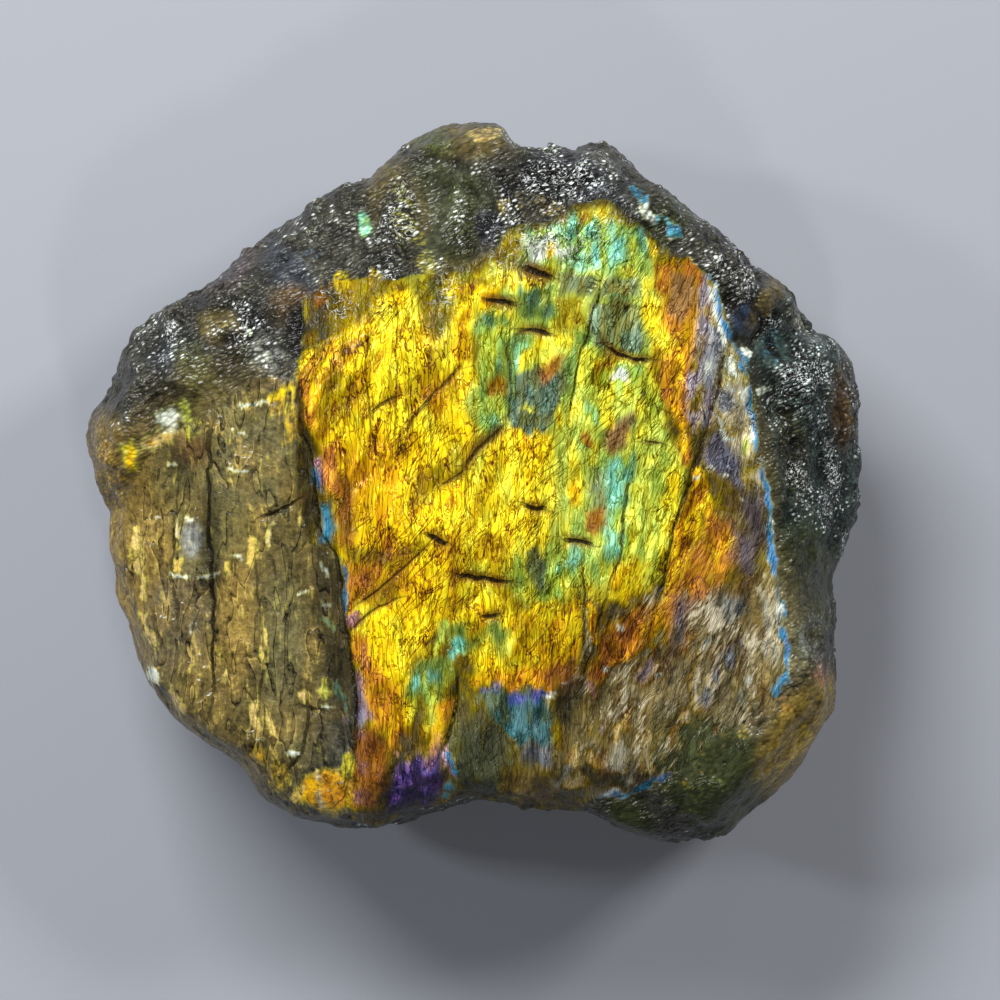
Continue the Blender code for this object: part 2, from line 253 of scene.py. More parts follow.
greenFlashes = {
    "greenVeil": (0.445, 0.74, 0.45, [(474, 320), (500, 300), (520, 262), (560, 262), (600, 268),
        (655, 264), (660, 290), (650, 330), (652, 380), (665, 400), (668, 440), (664, 500), (650, 560),
        (625, 590), (600, 600), (575, 598), (545, 606), (518, 604), (506, 590), (514, 564), (538, 556),
        (552, 540), (560, 500), (560, 440), (552, 432), (512, 426), (500, 428), (478, 430), (462, 404),
        (476, 380), (478, 350), (470, 336)]),
    "paleGreen": (0.455, 1, 0.34, [(478, 336), (496, 328), (510, 330), (508, 344), (498, 366), (488, 380),
        (478, 374), (482, 352)]),
    "greenRidge": (0.445, 0.9, 0.34, [(488, 404), (500, 396), (508, 402), (504, 424), (488, 440),
        (480, 430)]),
    "greenDip": (0.36, 0.5, 0.3, [(480, 314), (506, 318), (512, 324), (502, 330), (490, 326),
        (482, 322)]),
    "darkGreen": (0.4, 0.34, 0.3, [(516, 292), (552, 290), (556, 312), (546, 324), (524, 320),
        (514, 308)]),
    "greenCore": (0.39, 0.45, 0.45, [(498, 352), (514, 340), (510, 366), (500, 392), (492, 380)]),
    "darkTealRun": (0.36, 0.42, 0.5, 5, [(524, 330), (513, 352), (510, 380), (506, 412)]),
    "tealGlint": (0.3, 0.92, 0.5, 4, [(523, 342), (517, 360), (514, 372)]),
    "yellowIsland": (0.505, 0.97, 0.34, [(524, 354), (540, 340), (556, 336), (572, 340), (572, 356),
        (560, 368), (544, 372), (528, 370)]),
    "yellowHeap": (0.53, 0.9, 0.34, [(550, 334), (570, 336), (574, 350), (556, 352)]),
    "oliveBrown": (0.56, 0.45, 0.45, [(560, 300), (580, 302), (584, 324), (572, 336), (560, 330)]),
    "tealBlock": (1.172, 0.6, 0.15, [(516, 376), (540, 372), (562, 378), (568, 392), (560, 408),
        (554, 424), (538, 434), (518, 430), (509, 414)]),
    "yellowFleck": (0.5, 0.9, 0.35, (529, 414), (8, 3), 0),
    "tealGreyBlock": (1.165, 0.85, 0.15, [(594, 300), (624, 303), (640, 310), (644, 346), (634, 352),
        (604, 348), (586, 342), (590, 318)]),
    "greenShoulder": (1.15, 0.6, 0.3, [(560, 272), (600, 274), (592, 300), (572, 296), (560, 296)]),
    "greyGreenTop": (1.16, 0.85, 0.3, [(606, 276), (640, 276), (644, 300), (622, 300), (600, 296)]),
    "rustTriangle": (0.69, 0.42, 0.34, [(536, 376), (552, 362), (561, 362), (558, 376), (545, 384)]),
    "rustDot": (0.64, 0.4, 0.34, [(484, 380), (505, 376), (506, 390), (494, 396), (486, 392)]),
    "lemonBlock": (0.475, 0.97, 0.34, [(586, 354), (602, 348), (625, 356), (650, 362), (658, 382),
        (664, 410), (660, 442), (640, 446), (634, 418), (618, 418), (604, 432), (586, 424), (572, 418),
        (572, 394), (578, 370)]),
    "mintPatch": (0.41, 0.97, 0.45, [(598, 366), (634, 364), (640, 378), (622, 390), (604, 388)]),
    "whiteMint": (1, 0.95, 0.35, (621, 373), (7, 5), 0),
    "goldEdge": (0.54, 1, 0.34, [(598, 352), (625, 358), (612, 366), (598, 366)]),
    "yellowBox": (0.5, 1, 0.35, (628, 408), (9, 11), 0),
    "mintLeft": (0.37, 0.85, 0.45, [(584, 404), (600, 404), (598, 424), (586, 422)]),
    "brownSlant": (1.5, 0.42, 0.4, [(602, 434), (618, 422), (631, 414), (633, 424), (624, 444),
        (610, 456), (604, 448)]),
    "brownSpeck": (0.66, 0.5, 0.35, (586, 440), (5, 8), 0),
    "greenColumn": (0.44, 0.65, 0.45, [(556, 440), (566, 440), (564, 480), (568, 520), (556, 540),
        (556, 500)]),
    "yellowSlot": (0.515, 0.95, 0.3, [(568, 452), (584, 450), (586, 484), (584, 506), (574, 510),
        (568, 494)]),
    "amberSlot": (0.6, 0.9, 0.35, (576, 492), (6, 14), 0),
    "tealColumn": (0.34, 0.85, 0.45, [(606, 466), (632, 452), (632, 480), (626, 510), (620, 536),
        (624, 562), (606, 562), (602, 540), (604, 510), (598, 490)]),
    "aquaHigh": (0.34, 1, 0.35, (614, 496), (8, 14), 0),
    "aquaLow": (0.27, 1, 0.35, (615, 544), (7, 12), 0),
    "mintFoot": (0.4, 1, 0.35, (626, 552), (7, 14), 0),
    "greyColumn": (1.17, 0.75, 0.45, [(592, 470), (602, 480), (604, 516), (592, 512)]),
    "rustSquare": (0.69, 0.42, 0.3, [(590, 514), (604, 512), (604, 528), (594, 540), (588, 530)]),
    "aquaDot": (0.34, 0.65, 0.3, [(562, 552), (578, 548), (582, 564), (572, 572), (563, 566)]),
    "greyGreenDip": (1.17, 0.5, 0.3, [(526, 552), (538, 552), (547, 566), (546, 590), (536, 592),
        (530, 574)]),
    "mintWedge": (0.4, 1, 0.3, [(546, 572), (560, 566), (560, 592), (548, 600)]),
    "oliveFoot": (0.53, 0.5, 0.45, [(566, 590), (606, 586), (604, 602), (570, 602)]),
    "limeRight": (0.46, 0.88, 0.45, [(638, 440), (664, 440), (682, 452), (688, 470), (684, 495),
        (678, 520), (672, 550), (660, 582), (640, 590), (624, 586), (628, 560), (630, 520), (640, 478)]),
    "lemonLean": (0.505, 1, 0.3, [(668, 470), (684, 470), (680, 505), (672, 545), (660, 582), (650, 584),
        (656, 550), (664, 510)]),
    "goldFoot": (0.56, 0.8, 0.45, [(616, 566), (646, 562), (640, 592), (622, 606), (604, 604)]),
}
topFlashes = {
    "topVeil": (0.365, 0.8, 0.45, [(500, 236), (518, 224), (545, 222), (575, 208), (612, 212), (640, 230),
        (656, 258), (656, 275), (600, 276), (560, 266), (520, 266), (502, 258)]),
    "limeLeft": (0.54, 0.4, 0.45, [(498, 236), (512, 224), (524, 230), (520, 258), (504, 264),
        (494, 252)]),
    "whiteTop": (1, 1, 0.45, [(524, 240), (548, 232), (560, 240), (578, 248), (572, 256), (548, 256),
        (530, 262)]),
    "goldInWhite": (0.54, 1, 0.35, (551, 250), (5, 9), 0),
    "aquaTop": (0.295, 0.85, 0.15, [(582, 224), (595, 222), (592, 244), (604, 258), (603, 268),
        (584, 272), (574, 268), (578, 248)]),
    "mintTop": (0.3, 0.95, 0.45, [(562, 226), (582, 222), (580, 244), (566, 246)]),
    "whiteNest": (0.3, 0.85, 0.4, [(606, 248), (620, 238), (624, 258), (612, 268)]),
    "goldCrest": (0.54, 0.5, 0.45, [(574, 206), (592, 202), (612, 210), (624, 222), (604, 222),
        (586, 216)]),
    "yellowCorner": (0.53, 1, 0.35, (652, 251), (6, 10), -30),
    "goldUnderSplit": (0.55, 0.7, 0.3, [(480, 274), (510, 268), (540, 278), (546, 290), (526, 290),
        (500, 286)]),
    "whiteFringe": (0.52, 0.6, 0.4, [(400, 278), (440, 276), (480, 268), (510, 262), (498, 274),
        (460, 284), (410, 286)]),
}
rightBandFlashes = {
    "brownBand": (0.665, 0.66, 0.3, [(660, 264), (688, 260), (700, 276), (698, 330), (692, 380),
        (690, 430), (697, 458), (690, 468), (680, 450), (672, 420), (664, 400), (662, 370), (655, 330),
        (658, 290)]),
    "orangeRidge": (0.615, 1, 0.5, 4, [(676, 340), (680, 370), (677, 400), (681, 440), (690, 462)]),
    "orangeRim": (0.68, 0.7, 0.5, 4, [(668, 262), (686, 262), (697, 280), (696, 315), (688, 350)]),
    "brownCore": (1.5, 0.66, 0.3, [(670, 276), (692, 276), (690, 308), (682, 322), (668, 312)]),
    "yellowBar": (0.525, 1, 0.3, [(648, 296), (660, 300), (662, 330), (674, 346), (664, 362), (654, 345),
        (644, 326), (642, 310)]),
    "lilacSeam": (1.31, 1, 0.5, 8, [(704, 276), (702, 330), (698, 370), (696, 410), (698, 436)]),
    "greyShard": (0.955, 0.75, 0.35, [(706, 326), (722, 322), (726, 350), (722, 380), (712, 396),
        (704, 386), (704, 352)]),
    "paleShard": (1, 0.7, 0.35, (711, 366), (4, 6), 0),
    "blueShard": (1.35, 1, 0.3, [(700, 392), (722, 388), (720, 402), (712, 430), (702, 430), (704, 410)]),
    "creamSeam": (1, 0.95, 0.5, 4, [(711, 284), (714, 306), (722, 330), (727, 346)]),
    "yellowStrip": (1.05, 0.62, 0.5, [(726, 350), (738, 352), (743, 380), (750, 412), (752, 430),
        (740, 432), (726, 428), (716, 410), (722, 385)]),
    "stripTop": (1.14, 0.95, 0.5, [(724, 350), (738, 352), (744, 382), (728, 386)]),
    "stripCurl": (1, 0.8, 0.5, 2.6, [(727, 356), (735, 370), (729, 384), (736, 396)]),
    "stripGrey": (0.955, 0.55, 0.35, (727, 402), (7, 12), 0),
    "yellowStripEdge": (1, 0.85, 0.5, 3, [(731, 350), (740, 380), (747, 420)]),
    "creamNode": (1.05, 1, 0.3, [(734, 436), (752, 430), (758, 446), (752, 464), (742, 462), (733, 450)]),
    "nodeYellow": (0.515, 0.95, 0.35, (744, 450), (5, 9), 0),
    "blueWedge": (1.36, 0.6, 0.45, [(706, 440), (722, 430), (735, 450), (745, 470), (748, 490),
        (735, 492), (716, 476), (702, 462)]),
    "paleWedge": (1, 0.7, 0.5, 3, [(716, 420), (722, 426), (726, 440), (734, 442)]),
    "yellowTooth": (1.05, 0.8, 0.3, [(750, 472), (764, 468), (768, 492), (756, 488)]),
    "orangeWedge": (0.61, 0.97, 0.15, [(698, 464), (708, 484), (712, 520), (716, 546), (704, 530),
        (696, 505), (690, 490)]),
    "goldWedge": (0.6, 0.86, 0.3, [(688, 492), (700, 510), (702, 534), (690, 560), (674, 585), (662, 602),
        (666, 570), (678, 530)]),
    "copperField": (0.685, 0.56, 0.45, [(704, 520), (716, 512), (736, 524), (742, 560), (722, 590),
        (700, 612), (665, 628), (640, 652), (615, 674), (588, 684), (600, 640), (640, 606), (662, 600),
        (690, 560)]),
    "orangeGlow": (0.635, 0.95, 0.35, (726, 540), (8, 14), 10),
    "orangeGlowLow": (0.645, 0.85, 0.35, (718, 556), (14, 5), 60),
    "oliveRight": (1.3, 0.3, 0.8, [(742, 486), (768, 492), (770, 540), (760, 560), (750, 530),
        (738, 512)]),
    "lilacRight": (1.3, 0.5, 0.7, [(734, 522), (744, 530), (768, 532), (760, 556), (762, 592), (748, 592),
        (738, 570)]),
    "roseRight": (0.76, 0.4, 0.45, [(690, 604), (708, 596), (716, 610), (706, 632), (690, 640)]),
    "copperRun": (0.675, 0.8, 0.5, 5, [(700, 590), (682, 612), (668, 640), (650, 660)]),
    "copperRunLeft": (0.67, 0.75, 0.5, 5, [(668, 606), (650, 626), (632, 650), (622, 666)]),
    "goldRun": (0.6, 0.7, 0.5, 2.6, [(694, 560), (676, 588), (660, 612)]),
}
middleFlashes = {
    "goldLowMiddle": (0.585, 0.72, 0.45, [(514, 612), (545, 606), (566, 602), (580, 606), (582, 650),
        (574, 676), (548, 684), (522, 680), (512, 650)]),
    "lemonKnot": (0.525, 1, 0.35, (548, 610), (14, 10), 0),
    "olivePit": (0.59, 0.55, 0.35, (520, 622), (22, 6), 75),
    "orangeColumn": (0.64, 0.9, 0.5, 5, [(590, 606), (592, 630), (592, 654)]),
    "orangeHem": (0.645, 0.92, 0.3, [(468, 676), (500, 674), (528, 668), (548, 664), (566, 664),
        (572, 678), (545, 688), (500, 688), (472, 686)]),
    "brownHem": (0.68, 0.35, 0.45, [(548, 668), (574, 660), (578, 690), (560, 700), (546, 690)]),
    "greenTail": (0.45, 0.42, 0.45, [(444, 626), (462, 622), (474, 640), (480, 632), (498, 626),
        (506, 640), (500, 660), (488, 640), (466, 656), (448, 650)]),
    "aquaSpark": (0.27, 0.85, 0.35, (459, 646), (8, 10), 0),
    "aquaSparkLow": (0.27, 0.95, 0.35, (452, 660), (5, 8), 10),
    "paleGreenRun": (0.45, 0.95, 0.5, 4, [(446, 620), (440, 640), (434, 655)]),
    "limeRun": (0.46, 0.7, 0.5, 4, [(510, 636), (506, 655), (502, 670)]),
    "greenHeap": (0.42, 0.42, 0.3, [(404, 684), (418, 662), (436, 654), (456, 664), (460, 680),
        (446, 690), (436, 708), (420, 700), (408, 702)]),
    "mintHeap": (0.32, 0.95, 0.35, (415, 685), (5, 8), 0),
    "mintHeapRight": (0.34, 0.95, 0.35, (432, 690), (8, 4), 40),
    "mintHeapHigh": (0.38, 0.5, 0.35, (428, 676), (6, 6), 0),
    "yellowHeapLow": (0.51, 0.97, 0.45, [(402, 694), (416, 696), (414, 716), (404, 722)]),
    "limeHeapLow": (0.5, 0.92, 0.45, [(424, 704), (438, 700), (436, 720), (424, 734)]),
    "goldHeapLow": (0.605, 0.95, 0.45, [(390, 712), (404, 706), (408, 728), (396, 744), (388, 736)]),
    "orangeHeapLow": (0.65, 0.78, 0.3, [(436, 702), (454, 700), (452, 724), (446, 744), (434, 752),
        (426, 744), (432, 724)]),
    "oliveHollow": (0.62, 0.2, 0.45, [(400, 728), (420, 722), (428, 738), (420, 756), (398, 750),
        (390, 744)]),
}
bottomFlashes = {
    "tealLow": (1.2, 0.55, 0.3, [(476, 692), (546, 690), (550, 716), (552, 744), (534, 744), (516, 744),
        (512, 738), (500, 736), (486, 722)]),
    "blueLow": (1.215, 0.5, 0.45, [(515, 696), (546, 698), (550, 720), (544, 742), (524, 742),
        (514, 720)]),
    "violetHem": (0.06, 0.7, 0.5, 6, [(482, 691), (505, 694), (530, 694), (546, 690)]),
    "greyLow": (0.955, 0.4, 0.45, [(520, 744), (552, 742), (556, 762), (536, 768), (520, 758)]),
    "tealDrop": (0.21, 0.6, 0.5, 4, [(508, 740), (509, 752), (511, 764)]),
    "darkGrey": (0.5, 0.06, 0.3, [(459, 700), (478, 712), (490, 732), (506, 742), (506, 770), (500, 800),
        (470, 800), (452, 764), (452, 738)]),
    "oliveLow": (1.09, 0.32, 0.45, [(506, 770), (540, 770), (566, 780), (590, 790), (580, 806),
        (500, 808)]),
    "brownFeet": (0.72, 0.55, 0.45, [(352, 728), (374, 730), (388, 742), (392, 764), (386, 796),
        (370, 814), (354, 810), (346, 772)]),
    "roseFoot": (0.79, 0.6, 0.5, 5, [(362, 728), (358, 750), (366, 775)]),
    "roseFootLow": (0.79, 0.8, 0.5, 4, [(360, 786), (358, 808)]),
    "yellowFoot": (0.54, 0.7, 0.35, (346, 768), (8, 12), 0),
    "violetGround": (0.015, 0.34, 0.45, [(396, 772), (420, 756), (444, 750), (446, 786), (430, 812),
        (388, 816), (384, 800)]),
    "violetFirst": (0, 1, 0.5, 6, [(409, 762), (403, 782), (396, 806)]),
    "violetSecond": (0.01, 1, 0.5, 4, [(420, 764), (414, 790)]),
    "violetThird": (0.01, 1, 0.5, 4, [(433, 760), (428, 785), (425, 806)]),
    "violetFourth": (0.88, 0.75, 0.5, 4, [(448, 750), (452, 768), (456, 778)]),
    "pinkFirst": (0.82, 0.75, 0.5, 4, [(402, 750), (408, 764)]),
    "pinkSecond": (0.81, 0.7, 0.5, 5, [(441, 732), (435, 748), (430, 766)]),
    "blueFourth": (0.13, 0.7, 0.5, 4, [(452, 752), (457, 770)]),
    "tealFourth": (0.19, 0.7, 0.5, 4, [(458, 774), (450, 790), (442, 800)]),
    "goldLeftLow": (0.65, 1, 0.45, [(302, 780), (330, 768), (350, 784), (356, 810), (332, 820),
        (298, 810), (292, 798)]),
    "goldLeftRim": (1.09, 1, 0.5, 4, [(305, 786), (296, 800), (292, 808)]),
    "creamLeftRun": (1.06, 0.9, 0.5, 4, [(318, 772), (316, 792), (322, 812)]),
}
shimmerFlashes = {
    "shimmerVeil": (0.6, 0.1, 0.5, [(588, 692), (626, 668), (674, 632), (712, 598), (745, 578),
        (778, 584), (788, 690), (772, 722), (700, 790), (640, 802), (590, 808), (556, 800), (560, 744),
        (578, 704)]),
    "creamRun": (1, 0.6, 0.9, 3.5, [(714, 634), (705, 655), (699, 675), (694, 696)]),
    "creamRunLow": (1.05, 0.7, 0.9, 5.4, [(700, 690), (690, 710), (682, 726)]),
    "goldSeam": (1.07, 0.6, 0.9, 4.05, [(706, 650), (692, 680), (684, 690)]),
    "lilacRun": (1.3, 0.6, 0.9, 8.1, [(652, 656), (640, 682), (622, 704), (612, 722)]),
    "lilacRunLeft": (1.31, 0.55, 0.9, 6.75, [(614, 704), (602, 722), (594, 738)]),
    "greyRun": (0.955, 0.55, 0.9, 10.8, [(742, 640), (730, 662), (716, 684)]),
    "creamRight": (1, 0.6, 0.9, 5.4, [(768, 640), (758, 665), (746, 690), (736, 712)]),
    "creamRightLow": (1.04, 0.55, 0.9, 4.05, [(762, 684), (752, 702), (742, 714)]),
    "paleBlue": (0.955, 0.42, 0.8, (706, 696), (9, 12), 0),
    "yellowRun": (1.05, 0.7, 0.9, 5.4, [(738, 676), (728, 692)]),
    "creamLow": (1.03, 0.45, 0.9, 10.8, [(626, 740), (618, 758), (622, 770)]),
    "goldRunLow": (1.07, 0.7, 0.9, 4.05, [(630, 700), (622, 722), (616, 742)]),
    "goldRunMiddle": (1.06, 0.55, 0.9, 5.4, [(650, 736), (645, 758), (652, 780)]),
    "creamMiddle": (1.02, 0.55, 0.9, 6.75, [(668, 738), (660, 750)]),
    "goldRunLeft": (1.07, 0.8, 0.7, 12.15, [(590, 752), (582, 770), (570, 788)]),
    "creamRunLeft": (1, 0.48, 0.9, 5.4, [(572, 764), (560, 778), (556, 788)]),
    "roseRunLeft": (0.8, 0.4, 0.9, 5.4, [(588, 684), (594, 694)]),
    "creamBeside": (1, 0.62, 0.8, [(762, 590), (774, 596), (780, 630), (782, 660), (774, 672), (768, 640),
        (766, 610)]),
    "yellowBeside": (1.05, 0.75, 0.9, 4.05, [(772, 560), (774, 590), (779, 620), (781, 655)]),
    "lilacPatch": (1.31, 0.5, 0.8, [(680, 600), (694, 606), (688, 640), (674, 662), (664, 660),
        (672, 630)]),
    "greyPatch": (0.965, 0.42, 0.8, [(720, 590), (750, 596), (752, 616), (730, 626), (712, 612)]),
    # painted glints: the small white strokes from here to the end of the group are highlights of a wet
    # surface
    "glintCrack": (1, 1, 0.6, 2.4, [(711, 470), (715, 472)]),
    "glintCrackHigh": (1, 1, 0.6, 2.4, [(697, 476), (699, 479)]),
    "glintWedge": (1, 1, 0.6, 2.4, [(727, 481), (730, 482)]),
    "glintWedgeRight": (1, 1, 0.6, 2.4, [(742, 500), (746, 501)]),
    "glintHem": (1, 1, 0.6, 2.4, [(546, 690), (553, 694)]),
    "glintHemRight": (1, 1, 0.6, 2.4, [(560, 684), (566, 688)]),
    "glintCopper": (1, 1, 0.6, 2.4, [(617, 630), (625, 634)]),
    "glintCopperHigh": (1, 1, 0.6, 2.4, [(662, 588), (670, 592)]),
    "glintRun": (1, 1, 0.6, 2.4, [(637, 701), (644, 705)]),
    "glintRunHigh": (1, 1, 0.6, 2.4, [(656, 675), (664, 677)]),
    "glintSlant": (1, 1, 0.6, 2.4, [(604, 668), (612, 670)]),
    "glintMiddle": (1, 1, 0.6, 2.4, [(706, 540), (711, 546)]),
}
platesFlashes = {
    "goldTriangle": (0.62, 0.55, 0.45, [(262, 404), (282, 386), (296, 380), (300, 412), (298, 440),
        (286, 446), (280, 420), (266, 412)]),
    "goldTriangleEdge": (0.575, 0.9, 0.5, 4, [(266, 404), (278, 396), (292, 388)]),
    "goldNub": (0.58, 0.8, 0.45, [(118, 448), (128, 440), (136, 452), (134, 474), (124, 476)]),
    "goldRidge": (1.08, 0.8, 0.45, [(136, 440), (152, 432), (172, 430), (172, 442), (152, 452),
        (138, 452)]),
    "limeRidge": (0.51, 0.5, 0.45, [(170, 404), (180, 398), (192, 412), (204, 420), (198, 436),
        (186, 446), (182, 430), (172, 418)]),
    "whiteRidge": (1, 0.7, 0.4, [(152, 414), (168, 408), (176, 420), (174, 434), (160, 430), (150, 424)]),
    "orangeRidgePlate": (0.64, 0.8, 0.5, 3, [(146, 444), (156, 438), (168, 440)]),
    "brownNub": (0.62, 0.3, 0.35, (98, 465), (12, 30), 0),
    # a painted glint at the plates' left edge
    "glintTip": (1, 0.95, 0.35, (148, 682), (5, 13), -25),
    "goldToe": (0.6, 0.55, 0.45, [(262, 772), (282, 762), (292, 780), (284, 798), (272, 796)]),
    "slatePlate": (0.955, 0.3, 0.35, (190, 541), (10, 19), 0),
    "slatePlateEdge": (1.05, 0.9, 0.6, 3, [(171, 508), (174, 524), (177, 542)]),
    "slatePlateGold": (1.09, 1, 0.6, 3.5, [(174, 546), (176, 560), (176, 574)]),
    "litEdge": (1.08, 1, 0.7, 5, [(128, 530), (133, 560), (138, 596), (141, 626)]),
    "litEdgeLow": (1.08, 0.9, 0.7, 5, [(142, 630), (150, 654), (158, 678)]),
    "litEdgeFoot": (1.08, 0.8, 0.8, 5, [(160, 684), (172, 702), (184, 722)]),
    "goldLens": (1.09, 1, 0.6, 3.4, [(249, 538), (251, 552), (249, 568)]),
    "goldLensLeft": (1.09, 0.95, 0.6, 3, [(221, 562), (224, 574)]),
    "goldLensRight": (1.06, 0.8, 0.6, 3, [(273, 522), (270, 536), (267, 550)]),
    "goldLensFar": (1.08, 0.9, 0.6, 3, [(303, 512), (299, 524), (297, 536)]),
    "goldRunPlate": (1.08, 0.8, 0.6, 3, [(240, 606), (237, 624), (236, 642)]),
    "goldRunRight": (1.08, 0.9, 0.6, 2.6, [(260, 610), (264, 640), (262, 672)]),
    "goldRunLowPlate": (1.08, 0.9, 0.6, 3.5, [(258, 700), (254, 724), (256, 748)]),
    "goldRunFoot": (1.08, 0.9, 0.6, 3, [(266, 712), (272, 734), (276, 756)]),
    "goldRunEdge": (1.08, 0.8, 0.6, 3, [(226, 672), (223, 690)]),
    "yellowScale": (1.08, 0.95, 0.35, (301, 698), (6, 7), 0),
    # painted glints: the white strokes and beads of hue 1 from here on are highlights of a wet surface
    "glintLine": (1, 1, 0.5, 2.6, [(161, 572), (174, 577), (190, 580), (204, 577), (216, 575)]),
    "glintLineRight": (1, 0.9, 0.5, 2.4, [(228, 557), (238, 559), (244, 563)]),
    "glintLineUpper": (1, 0.75, 0.5, 1.8, [(213, 463), (232, 468), (256, 477)]),
    "glintLineHigh": (1, 0.75, 0.5, 1.8, [(222, 430), (240, 432), (257, 438)]),
    "glintTriangle": (1, 0.9, 0.5, 2.4, [(217, 411), (240, 408), (262, 405), (273, 406)]),
    "glintScale": (1, 0.95, 0.5, 2.6, [(295, 599), (301, 596), (307, 593)]),
    "glintSlate": (1, 0.9, 0.5, 2.4, [(184, 518), (190, 521), (196, 521)]),
    "glintFar": (1, 0.8, 0.5, 2.2, [(148, 517), (156, 519), (166, 520)]),
    "glintNub": (1, 0.85, 0.5, 2.2, [(165, 466), (170, 464), (176, 466)]),
    "glintFoot": (1, 0.95, 0.5, 3, [(283, 756), (290, 758), (298, 759)]),
    "glintFootLeft": (1, 0.8, 0.5, 2.4, [(254, 744), (262, 745)]),
    "glintBead": (1, 0.5, 0.35, (190, 631), (5, 6), 0),
    "ledgeGlints": (1, 0.8, 0.5, 2.4, [(320, 562), (325, 570), (327, 582)]),
    "ledgeGlintsLow": (1, 0.8, 0.5, 2.4, [(318, 604), (326, 607), (334, 604)]),
    "ledgeBeadsFoot": (0.3, 0.6, 0.5, 3, [(322, 618), (330, 628), (334, 636)]),
    "tealPlateEdge": (0.27, 0.6, 0.5, 5, [(336, 686), (343, 700), (347, 714)]),
    "limePlateFoot": (0.5, 0.5, 0.35, (326, 690), (8, 14), 0),
    "glintBeads": (1, 0.9, 0.5, 3, [(320, 709), (330, 713), (338, 716)]),
    "orangeToe": (0.62, 0.42, 0.35, (255, 760), (12, 12), 0),
}
rimFlashes = {
    # a painted glint
    "whiteSpark": (1, 1, 0.35, (246, 331), (4, 5), 0),
    "whiteCrumbs": (1, 0.5, 0.5, [(238, 350), (252, 344), (270, 343), (272, 358), (262, 368),
        (246, 366)]),
    # a painted glint on the dark rim
    "rimGlint": (1, 1, 0.5, 4.5, [(761, 393), (768, 389), (773, 387)]),
    "goldSpots": (1.09, 0.45, 0.6, 6, [(786, 306), (794, 318), (800, 330)]),
    "oliveBand": (0.52, 0.3, 0.35, (415, 256), (88, 17), 72),
    "crumbs": (0.57, 0.2, 0.5, [(496, 192), (520, 188), (548, 190), (576, 196), (600, 202), (575, 210),
        (540, 222), (505, 234), (492, 226)]),
    "roughGold": (0.575, 0.34, 0.5, [(300, 344), (316, 318), (326, 290), (340, 270), (376, 264),
        (396, 284), (372, 300), (360, 318), (336, 334)]),
    "goldSmear": (0.555, 0.7, 0.35, (341, 279), (9, 12), 10),
    "goldSmearRight": (0.555, 0.6, 0.35, (377, 268), (8, 4), 60),
    "brownHollow": (0.64, 0.25, 0.35, (320, 291), (11, 16), 0),
    "greenGlint": (0.33, 0.9, 0.35, (361, 221), (14, 8), 70),
    "bluePatch": (0.14, 0.3, 0.35, (312, 254), (14, 8), 0),
    "amberCrest": (1.08, 0.55, 0.35, (484, 132), (18, 7), 0),
    "oliveSpots": (0.56, 0.12, 0.35, (216, 322), (12, 13), 0),
    "cyanGlint": (0.17, 0.85, 0.5, 7, [(632, 184), (640, 196), (648, 204)]),
    "cyanGlintLow": (0.165, 1, 0.5, 9, [(660, 216), (668, 228), (682, 236)]),
    "cyanTip": (0.24, 0.95, 0.5, 3, [(672, 234), (682, 238)]),
    "goldUnderCyan": (1.08, 0.8, 0.5, 4, [(662, 241), (678, 245)]),
    "paleBetween": (1, 0.8, 0.35, (650, 216), (7, 12), -40),
    "goldSkyEdge": (1.09, 0.5, 0.5, 3.5, [(800, 304), (808, 318), (816, 330)]),
    "blueHollow": (0.14, 0.22, 0.35, (740, 336), (10, 7), 0),
    "blueHollowLow": (0.18, 0.3, 0.35, (775, 345), (12, 22), 0),
    "paleCorner": (1, 0.8, 0.35, (817, 652), (6, 12), 20),
    "cornerRun": (1, 0.7, 0.8, 3, [(830, 622), (822, 640), (826, 658)]),
    "tealCorner": (0.28, 0.35, 0.35, (803, 642), (10, 16), 0),
    "greyCorner": (0.955, 0.35, 0.9, [(800, 622), (812, 606), (830, 616), (838, 650), (828, 668),
        (808, 664), (798, 646)]),
    "pinkCorner": (0.8, 0.5, 0.8, [(806, 672), (822, 662), (836, 664), (840, 690), (824, 696),
        (810, 686)]),
    "brownCorner": (0.72, 0.45, 0.35, (792, 712), (22, 10), 60),
    "amberCorner": (0.58, 0.25, 0.35, (800, 754), (30, 40), 38),
    "blueFacetEdge": (0.135, 0.48, 0.8, 5, [(592, 804), (606, 796), (625, 797), (644, 790), (660, 784),
        (678, 774)]),
    # painted glints along the facet's edge
    "facetGlints": (1, 0.6, 0.8, 2.4, [(604, 797), (614, 793), (624, 795)]),
    "facetBeadsFar": (0.16, 0.9, 0.8, 2.4, [(634, 793), (648, 788), (660, 783)]),
}
lineFlashes = {
    "blueLine": (0.135, 0.8, 0.4, 3.6, [(706, 274), (714, 290), (722, 316), (734, 340), (745, 356),
        (750, 390), (755, 425), (763, 465), (772, 512), (775, 545), (778, 580), (785, 615), (788, 650),
        (785, 680), (778, 698)]),
    "blueLineFoot": (0.15, 0.75, 0.8, 9, [(787, 680), (778, 698)]),
    # painted glints along the line
    "firstGlint": (1, 0.9, 0.5, 4, [(708, 290), (712, 304)]),
    "secondGlint": (1, 0.9, 0.5, 4.5, [(719, 322), (727, 340)]),
    "thirdGlint": (1, 0.9, 0.5, 3, [(741, 346), (746, 350), (749, 358)]),
    "fourthGlint": (1, 0.9, 0.5, 3, [(746, 384), (749, 400)]),
    "fifthGlint": (1, 0.9, 0.5, 3.5, [(752, 430), (756, 442)]),
    "sixthGlint": (1, 0.9, 0.5, 3, [(781, 606), (782, 630)]),
    "seventhGlint": (1, 0.9, 0.5, 2.6, [(774, 520), (776, 534)]),
}

